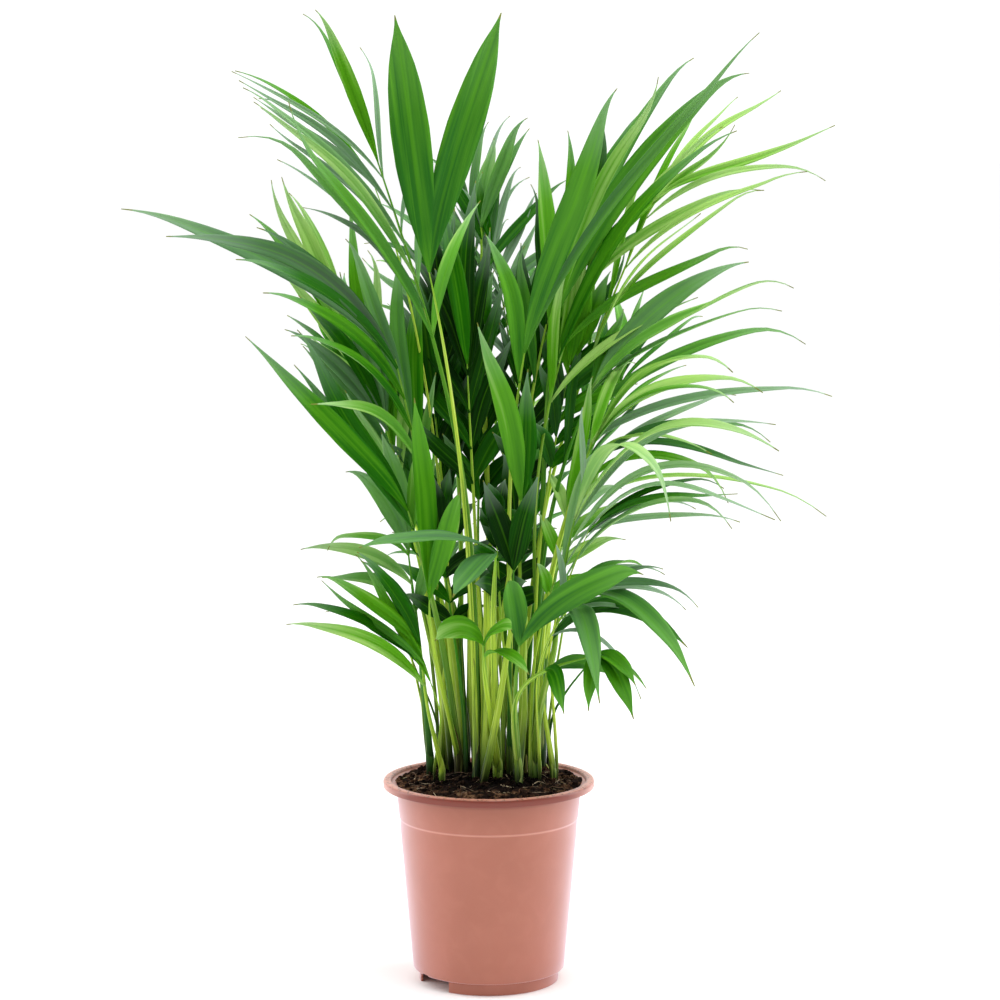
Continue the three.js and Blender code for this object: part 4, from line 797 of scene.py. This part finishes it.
# New leaves still rolled into spears, and petioles that have lost their leaves: the seedling,
# the foot [x, y], the way up as [x, z, y], how thick at the foot and the top, how green (-1 for
# one that has died).
spears = [
    (3, (-33, 30), [[-36, 146, 26], [-39, 193, 20], [-42, 221, 18]], 1.3, 0.7, 0.8),
    (3, (-32, 31), [[-36, 150, 27], [-44, 187, 22], [-50, 215, 18]], 0.9, 0.5, 0.3),
    (3, (-28, 33), [[-29, 145, 30], [-41, 177, 26], [-52, 204, 22]], 0.7, 0.5, 0.9),
    (17, (-29, 35), [[-29, 150, 32], [-33, 193, 26], [-36, 221, 24]], 1.2, 0.8, 0.7),
    (3, (-25, 26), [[-26, 155, 22], [-32, 198, 18], [-36, 221, 16]], 1.7, 1.2, 0.15),
    (3, (-20, 14), [[-25, 159, 8], [-33, 193, 4], [-38, 215, 2]], 1.7, 0.9, 0.5),
    (3, (-15, 22), [[-16, 146, 16], [-21, 193, 12], [-23, 226, 12]], 3.2, 2.0, 0.2),
    (5, (-11, 31), [[-13, 141, 28], [-15, 181, 28], [-17, 215, 28]], 1.5, 1.2, 1.0),
    (7, (-7, 20), [[-9, 155, 16], [-10, 181, 14], [-10, 215, 14]], 2.3, 1.8, 0.0),
    (6, (-3, -11), [[-2, 146, -12], [-1, 193, -12], [-1, 226, -10]], 2.7, 1.9, 0.0),
    (6, (-5, -16), [[4, 146, -22], [11, 190, -26], [15, 215, -26]], 2.4, 0.9, 0.1),
    (7, (4, 14), [[12, 162, 6], [22, 190, 0], [31, 212, -4]], 1.2, 0.7, 0.3),
    (7, (3, 20), [[4, 155, 18], [3, 187, 18], [2, 215, 18]], 2.2, 1.6, 1.0),
    (18, (14, 36), [[14, 155, 34], [15, 187, 34], [16, 215, 34]], 2.4, 1.8, 1.0),
    (10, (15, -12), [[19, 149, -10], [19, 181, -8], [20, 210, -6]], 2.9, 2.0, 0.45),
    (12, (21, 24), [[25, 159, 18], [31, 192, 14], [35, 215, 12]], 1.6, 1.1, 0.05),
    (12, (20, 34), [[23, 155, 30], [27, 190, 28], [31, 215, 26]], 1.5, 1.0, 0.2),
    (15, (28, 31), [[29, 155, 30], [31, 181, 28], [34, 210, 26]], 2.2, 1.5, 0.1),
    (15, (33, 33), [[35, 146, 32], [43, 163, 30], [57, 181, 28]], 0.9, 0.5, 1.0),
    (15, (34, 35), [[34, 149, 34], [41, 197, 34], [45, 221, 34]], 0.9, 0.5, 0.3),
    (17, (-21, 38), [[-23, 150, 38], [-24, 187, 38], [-25, 215, 38]], 1.6, 1.2, 1.0),
    (17, (-14, 42), [[-17, 150, 42], [-18, 187, 42], [-19, 215, 42]], 1.8, 1.4, 0.9),
    (8, (-4, 40), [[-5, 150, 40], [-5, 187, 40], [-5, 215, 40]], 2.0, 1.5, 1.0),
    (8, (1, 30), [[0, 150, 30], [0, 187, 30], [0, 215, 30]], 1.8, 1.4, 0.8),
    (18, (9, 40), [[8, 152, 42], [9, 187, 42], [9, 215, 42]], 1.7, 1.3, 0.9),
    (12, (8, 26), [[8, 159, 24], [6, 187, 22], [5, 215, 20]], 1.4, 1.2, 0.2),
    (18, (21, 40), [[21, 152, 42], [23, 187, 42], [25, 215, 42]], 1.8, 1.3, 1.0),
    (11, (10, 8), [[10, 120, 8], [9, 127, 8], [8, 135, 9]], 1.3, 0.2, -1),
    (7, (4, 10), [[6, 119, 10], [6, 124, 10], [7, 129, 10]], 1.5, 0.6, -1),
    (13, (23, 2), [[21, 118, 2], [21, 122, 2], [21, 128, 3]], 1.1, 0.4, -1),
]
spear_root_z, spear_rings, spear_groove, stalk_groove = 106.0, 6, 0.1, 0.3
for plant in range(1, len(roots) + 1):
    bm = bmesh.new()
    for k, (of, foot, way, thick_foot, thick_top, green) in enumerate(spears):
        if of == plant:
            path = smooth_path(np.array([[*foot, spear_root_z]] + [seen(spot) for spot in way]),
                               spear_rings)
            girths = np.interp(np.arange(len(path)), (0, 3, len(path) - 1),
                               (thick_foot, thick_foot, thick_top))
            girths[0] = girths[-1] = 0
            rolled(bm, path, girths, stalk_sides, (0, -1, 0), spear_groove,
                   lambda t, turn: (t * 0.45, max(0, green), 0.85 * (green < 0), 1), k * 3.1 + 90)
    for k, row in enumerate(fronds):
        if row["of"] == plant:
            rolled(bm, smooth_path(lines[k], rings_a_step), stoutness(k) * stalk_girths,
                   stalk_sides, facings[k], stalk_groove,
                   lambda t, turn: (t, greenness(k), 0, 1), k * 1.7)
    place(f"stalks_{plant:02d}", bm, [stalk_skin], "palm_green", f"palm_{plant:02d}", smooth=60)

# ---------------------------------------------------------------------------------------------
# The sheaths: at the foot of each seedling the older leaf bases clasp the stalks. They are
# fleshy and pale where they wrap round, and dry to brown paper where they have died back.
sheath_sides, sheath_slant, sheath_groove, dead_share = 12, 0.45, 0.05, 0.15
sheath_stands_off, sheath_thins = 0.45, 0.1
for plant in range(1, len(roots) + 1):
    bm = bmesh.new()
    for k, row in enumerate(fronds):
        if row["of"] != plant or "thin" in row:
            continue
        rings = int(chance.integers(6, 16))
        turn, dry = chance.random() * 2 * math.pi, 0.8 * (chance.random() < dead_share)
        green = min(1, max(0, greenness(k) + chance.uniform(-0.2, 0.2)))
        rise = np.arange(rings + 1) / rings
        girths = (stoutness(k) * stalk_girths[:rings + 1] + sheath_stands_off * (1 - rise ** 6)
                  - sheath_thins * rise)
        rolled(bm, smooth_path(lines[k], rings_a_step)[:rings + 1], girths, sheath_sides,
               (math.cos(turn), math.sin(turn), 0), sheath_groove,
               lambda t, a: (t * rings / stalk_rings, green, max(dry * t, 0.5 * (t > 0.97)), 1),
               k * 2.3 + 50, sheath_slant)
    place(f"sheath_{plant:02d}", bm, [stalk_skin], "palm_green", f"palm_{plant:02d}", smooth=60)

# ---------------------------------------------------------------------------------------------
# At the stalks' feet: crumbs of peat heaped against them, and one young root that has come up
# pale and curled before going down again.
crumbs_a_foot = 12
bm = bmesh.new()
for x, y in [line[1][:2] for line in lines] + [foot for _, foot, *_ in spears]:
    for _ in range(crumbs_a_foot):
        away, turn = chance.uniform(1.8, 5.0), chance.random() * 2 * math.pi
        size = chance.uniform(0.5, 1.5)
        spot = Vector((x + away * math.cos(turn), y + away * math.sin(turn), 0))
        if spot.length > soil_r - 2:
            continue
        spot.z = soil_z(spot.x, spot.y) + max(0, 4.4 - away) * chance.uniform(0.1, 0.7)
        crumb(bm, spot, size, 0.6, 0.14)
place("crumbs_heaped", bm, [peat], "soil", "soil", smooth=20)

bm = bmesh.new()
root_low, root_arch, root_turn, root_r = 114.5, 4.5, 4.2, 0.55
for (x, y), r, start in (((31, 24), 3.2, 0.4), ((27, 21), 2.4, 2.5)):
    curl = [(x + r * math.cos(t), y + r * 0.8 * math.sin(t),
             root_low + root_arch * math.sin((t - start) * 0.75))
            for t in np.linspace(start, start + root_turn, 16)]
    strand(bm, curl, root_r, 6)
young_root, tree, shader = finish("young_root", Roughness=0.5, Subsurface_Weight=0.1,
                                  Subsurface_Scale=0.001)
tint = texture(tree, coordinates(tree), "Noise", Scale=300, Detail=2)
dress(tree, shader, ramp(tree, tint, (0.4, linear(186, 200, 92)), (0.65, linear(224, 222, 160))))
place("curled_root", bm, [young_root], "palm_green", "palm_15", smooth=60)

# ---------------------------------------------------------------------------------------------
# The leaflets: long pointed blades, folded along the middle and finely ribbed, glossy green on
# top and paler and greyer underneath. The youngest leaves are still a pair of broad blades.
broad_from, blade_t = 12, 0.45
profile_u = np.array([0, 0.05, 0.12, 0.25, 0.4, 0.55, 0.7, 0.8, 0.88, 0.94, 1])
narrow_w = np.array([0.1, 0.25, 0.52, 0.86, 1, 0.9, 0.62, 0.37, 0.18, 0.07, 0.02])
broad_w = np.array([0.06, 0.18, 0.38, 0.72, 0.96, 1, 0.86, 0.64, 0.36, 0.12, 0.02])
fine_u = np.linspace(0, 1, 241)
soften = np.hanning(21) / np.hanning(21).sum()


def outline(widths):
    """The blade's width along its length, with the corners of the table eased off."""
    raw = np.interp(fine_u, profile_u, widths)
    rounded = np.convolve(np.pad(raw, len(soften) // 2, mode="edge"), soften, "valid")
    return np.where(fine_u < 0.03, raw, np.where(fine_u > 0.97, raw, rounded))


narrow, broad = outline(narrow_w), outline(broad_w)


def blade(bm, leaf, tip):
    """A grid laid along the leaflet's curve, narrowed to its outline, folded and ribbed."""
    follow, near_share, far_share, least_wide = 0.55, 0.33, 0.68, 0.35
    curl_from, flick_from, droop_from, grey_from = 0.35, 0.72, 0.8, 0.6
    broad_fold, base_fold, fold_loss, rib_high, waves = 0.13, 0.26, 0.1, 0.016, 17
    base, wide, number = leaf["base"], leaf["wide"], leaf["number"]
    run = tip - base
    length = np.linalg.norm(run)
    lift = up * leaf["lift"] * length
    leave = unit(unit(run) + leaf["along"] * follow)
    handles = [base, base + leave * length * near_share + lift, base + run * far_share + lift, tip]
    slopes = [b - a for a, b in zip(handles, handles[1:])]
    axis = Vector(unit(run))
    facing = np.array(Matrix.Rotation(leaf["twist"], 3, axis) @ Vector(leaf["facing"]))
    is_broad = wide >= broad_from
    across, steps = (8, 24) if is_broad else (4, 18)
    shape = broad if leaf["blunt"] else narrow
    grid, paint = flat_grid(
        bm, across, steps,
        lambda x, y: (x * np.interp(y, fine_u, shape) * wide * 0.1 + number, y * length * 0.01))
    for spot in grid:
        side, u = spot.co.x, spot.co.y + 0.5
        along = unit(bezier(slopes, u))
        sideways = unit(np.cross(along, facing))
        normal = np.cross(sideways, along)
        lean = Matrix.Rotation(leaf["curl"] * max(0, u - curl_from), 3, Vector(along))
        sideways = np.array(lean @ Vector(sideways))
        normal = np.array(lean @ Vector(normal))
        width = max(np.interp(u, fine_u, shape) * wide, least_wide)
        fold = (abs(side) - 0.25) * 2 * (broad_fold if is_broad else base_fold - fold_loss * u)
        ribs = rib_high * math.cos(side * 6 * math.pi) if is_broad else 0
        wave = leaf["ripple"] * abs(side) * math.sin(u * waves + number * 3 + side * 2)
        bow = normal * leaf["sway"][0] + sideways * leaf["sway"][1]
        at = (bezier(handles, u) + sideways * side * width + normal * width * (fold + ribs + wave)
              + bow * length * math.sin(math.pi * u) ** 2
              + sideways * leaf["flick"] * length * max(0, u - flick_from) ** 2
              - up * leaf["droop"] * length * max(0, u - droop_from) ** 2)
        end = max(0.0, (u - leaf["dry_from"]) / (1 - leaf["dry_from"])) ** 1.5
        # Greyer towards the tip: partly the tip's own drying grey, partly a painted highlight.
        fade = (0.2 if leaf["blunt"] else 1.2) * max(0, u - grey_from)
        # Painted shade: the green runs darker towards the leaflet's base near the stalks and
        # lighter towards its tip; its lowest stretch is lighter again.
        spot[paint] = (leaf["age"] + 0.2 * (u - 0.4) + 0.15 * max(0, 0.15 - u) / 0.15,
                       min(1, leaf["grey"] + fade), min(1, end), abs(side) * 2)
        spot.co = Vector(at) * MM


def leaf_finish(name, deep, mid, lit, young, grey, **sockets):
    """Leaf skin: green by age, parallel veins, cloudy tone, and dry tips from the tint."""
    made, tree, shader = finish(
        name, IOR=1.4, Specular_IOR_Level=0.06, Subsurface_Weight=0.05, Subsurface_Scale=0.0012,
        Subsurface_Radius=(0.5, 1.0, 0.12), **sockets)
    veins, bands = lengthwise(tree, 14, 0.5, 3, 0.55), lengthwise(tree, 3, 0.8, 2, 0.55)
    age, greyness, dry, edge = tint_parts(tree)
    # The oldest green is the deepest, with bands of lighter and darker green along the blade.
    banded = node(tree, "ShaderNodeMath", operation="MULTIPLY_ADD", _1=0.5)
    tree.links.new(bands, banded.inputs[0])
    tree.links.new(age, banded.inputs[2])
    green = ramp(tree, banded.outputs[0], (0.25, deep), (0.6, mid), (0.85, lit), (1.0, young))
    # Grey-green: partly the leaves' own grey-green, partly a painted sheen of the white
    # surroundings.
    green = mix(tree, greyness, green, grey)
    green = mix(tree, mask(tree, veins, (0.5, 0), (0.7, 0.2)), green, lit)
    green = mix(tree, mask(tree, edge, (0.03, 0.25), (0.12, 0)), green, lit)
    spots = texture(tree, coordinates(tree), "Noise", Scale=240, Detail=4, Roughness=0.7)
    ragged = node(tree, "ShaderNodeMath", operation="ADD")
    tree.links.new(spots, ragged.inputs[0])
    tree.links.new(dry, ragged.inputs[1])
    for start, end, brown in ((0.8, 1.0, linear(120, 128, 58)), (1.0, 1.3, linear(84, 80, 58))):
        green = mix(tree, mask(tree, ragged.outputs[0], (start, 0), (end, 1)), green, brown)
    dress(tree, shader, green, mix(tree, 0.4, veins, bands), 0.3, 0.0005)
    return made


leaf_top = leaf_finish("leaf_top", linear(8, 42, 4), linear(28, 98, 2), linear(88, 158, 22),
                       linear(160, 202, 106), linear(160, 186, 162), Roughness=0.42)
leaf_under = leaf_finish("leaf_under", linear(22, 70, 14), linear(50, 112, 24),
                         linear(104, 162, 52), linear(172, 210, 110), linear(168, 190, 168),
                         Roughness=0.5)


def draws(seed):
    """Seeded draws, one at a time, between minus and plus a reach: those of the solid part."""
    state = [seed]

    def draw(reach):
        state[0] = (state[0] * 1664525 + 1013904223) % 2 ** 32
        return (state[0] / 2 ** 32 * 2 - 1) * reach
    return draw


def through(spots, t):
    """The place at t on the curve through three spots at 0, 1/2 and 1, or the only spot."""
    if len(spots) == 1:
        return spots[0]
    a, m, b = (np.array(spot, float) for spot in spots)
    return a * 2 * (t - 0.5) * (t - 1) - m * 4 * t * (t - 1) + b * 2 * t * (t - 0.5)


def hung(tip, corners):
    """Where the leaflet's tip really hangs: nearer or farther along the line of sight, where
    the solid part has a corner. None where the solid part has no such leaflet."""
    swings, swing_step, reach_limit, near_enough = 24, 7, 187, 1.2
    tries = []
    for i in range(swings):
        depth = tip[2] + (1 if i % 2 else -1) * math.ceil(i / 2) * swing_step
        if abs(depth) <= reach_limit:
            spot = seen((tip[0], tip[1], depth))
            tries.append((corners.find(Vector(spot) * MM)[2], i, spot))
    off, _, spot = min(tries, key=lambda found: found[:2])
    return spot if off < near_enough * MM else None


tip_luck, wide_luck, twist_luck = (3, 3, 6), 0.12, 28
first_share, spread, pair_share, base_shift = 0.1, 0.78, 0.96, 0.8


def leaflets(k, row):
    """Each leaflet of a frond: its hand, how far along the midrib, its tip, width and twist."""
    draw, slim, hands = draws(1000 + k * 77), row.get("slim", (1, 1)), []
    for hand, (count, *tips) in enumerate((row.get("left", [0]), row.get("right", [0]))):
        for i in range(count):
            t = 0.5 if count == 1 else i / (count - 1)
            tip = [value + draw(reach) for value, reach in zip(through(tips, t), tip_luck)]
            wide = row["wide"][0] * (1 + draw(wide_luck)) * np.interp(t, (0, 1), slim)
            share = 0.5 if count == 1 else first_share + spread * t
            hands.append((hand, share, tip, wide, draw(twist_luck)))
    for hand, tip in enumerate(row["pair"]):
        wide = row["wide"][min(1 + hand, len(row["wide"]) - 1)]
        hands.append((hand, pair_share, tip, wide, draw(twist_luck)))
    return hands


# By tone: how young its green is, how grey it is, and how much the grey varies by chance.
tone_age, tone_grey = (0.38, 0.38, 0.64, 0.12), (0.0, 0.13, 0.0, 0.0)
tone_spread = (0.03, 0.1, 0.04, 0.0)
spare = np.random.default_rng(11)
for plant in range(1, len(roots) + 1):
    name = f"palm_{plant:02d}"
    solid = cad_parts[name].data.vertices
    corners = KDTree(len(solid))
    for i, corner in enumerate(solid):
        corners.insert(corner.co, i)
    corners.balance()
    bm = bmesh.new()
    for k, row in enumerate(fronds):
        if row["of"] != plant:
            continue
        tone, blunt, thin = row["tone"], row.get("blunt", False), "thin" in row
        ashen = row.get("ashen", (0.3, 0.5, 0) if thin and tone == 1 else (0, 0, 0))
        bow, luck = (0.008, 0.04) if blunt else (0.022, 0.12)
        for hand, share, tip, wide, twist in leaflets(k, row):
            feel = spare.normal(size=10)
            real_tip = seen(tip) if thin else hung(tip, corners)
            if real_tip is None:
                continue
            at = first_leaf + share * midrib_steps
            i = min(int(at), last_station - 1)
            ahead = lines[k][i + 1] - lines[k][i]
            # The grey: the tone's own grey-green, varied by chance, and the row's ashen share;
            # partly real grey, partly painted sheen.
            grey = tone_grey[tone] + feel[6] * tone_spread[tone]
            last = first_share + spread
            grey += ashen[2] if share == pair_share else np.interp(share, (0, last), ashen[:2])
            blade(bm, dict(
                base=lines[k][i] + ahead * (at - i) + facings[k] * (1 - 2 * hand) * base_shift,
                along=unit(ahead), facing=facings[k], twist=math.radians(twist), wide=wide,
                lift=row["lift"], blunt=blunt, number=len(bm.verts) * 0.37 % 50,
                sway=feel[:2] * bow, curl=feel[2] * 0.4, ripple=0.015 + 0.012 * abs(feel[3]),
                flick=feel[8] * (0.0 if blunt else 0.25 if wide > 9 else 0.6),
                droop=0.25 + 0.6 * abs(feel[4]), dry_from=0.965 - 0.03 * abs(feel[7]),
                age=tone_age[tone] + feel[5] * luck + row.get("shade", 0),
                grey=max(0, min(1, grey))), real_tip)
    leaves = place(f"leaves_{plant:02d}", bm, [leaf_top, leaf_under], "palm_green", name,
                   smooth=38)
    thick = leaves.modifiers.new("blade_thickness", "SOLIDIFY")
    thick.thickness, thick.offset, thick.material_offset = blade_t * MM, 0, 1

# ---------------------------------------------------------------------------------------------
# The floor, the light and the camera: a wide white floor under a high soft light, with a tall
# soft light on either side of the pot, seen from a little above the plant's middle.
bm = bmesh.new()
floor_half = 60
bmesh.ops.create_grid(bm, x_segments=1, y_segments=1, size=floor_half)
floor_mesh = bpy.data.meshes.new("floor")
bm.to_mesh(floor_mesh)
bm.free()
floor_piece = bpy.data.objects.new("floor", floor_mesh)
bpy.context.scene.collection.objects.link(floor_piece)
floor_mesh.materials.append(finish("floor_paper", Roughness=0.9, Specular_IOR_Level=0.1,
                                   Base_Color=(0.98, 0.98, 0.98, 1))[0])

world = bpy.data.worlds.new("white_room")
bpy.context.scene.world = world
world.use_nodes = True
tree, background = world.node_tree, world.node_tree.nodes["Background"]
sky = node(tree, "ShaderNodeVectorMath", operation="DOT_PRODUCT", _1=(0, 0.75, 0.66))
tree.links.new(coordinates(tree, "Generated"), sky.inputs[0])
room_light = between(tree, sky.outputs["Value"], -0.8, 0.25, To_Min=0.2, To_Max=1.12)
tree.links.new(room_light, background.inputs["Strength"])
background.inputs["Color"].default_value = (1, 1, 1, 1)
for name, spot, aim, size, watts in (
        ("top_light", (0.3, -0.3, 1.9), (0, 0, 0.3), (1.0, 1.0), 16),
        ("left_light", (-1.1, 0.25, 0.6), (0, 0, 0.25), (0.5, 1.4), 8),
        ("right_light", (1.1, 0.25, 0.6), (0, 0, 0.25), (0.5, 1.4), 8)):
    lamp = bpy.data.lights.new(name, "AREA")
    lamp.shape, lamp.size, lamp.size_y, lamp.energy = "RECTANGLE", *size, watts
    holder = bpy.data.objects.new(name, lamp)
    holder.location = spot
    holder.rotation_euler = (Vector(aim) - Vector(spot)).to_track_quat("-Z", "Y").to_euler()
    bpy.context.scene.collection.objects.link(holder)

camera_data = bpy.data.cameras.new("camera")
camera_data.lens, camera_data.sensor_width = 111.17, 36
camera_data.clip_start, camera_data.clip_end = 0.05, 50
camera = bpy.data.objects.new("camera", camera_data)
camera_nudge, camera_tilt = [0.3, 0, 0], math.radians(83.2)
camera.location = Vector(eye + camera_nudge) * MM
camera.rotation_euler = (camera_tilt, 0, 0)
bpy.context.scene.collection.objects.link(camera)
bpy.context.scene.camera = camera
bpy.context.scene.view_settings.view_transform = "Standard"
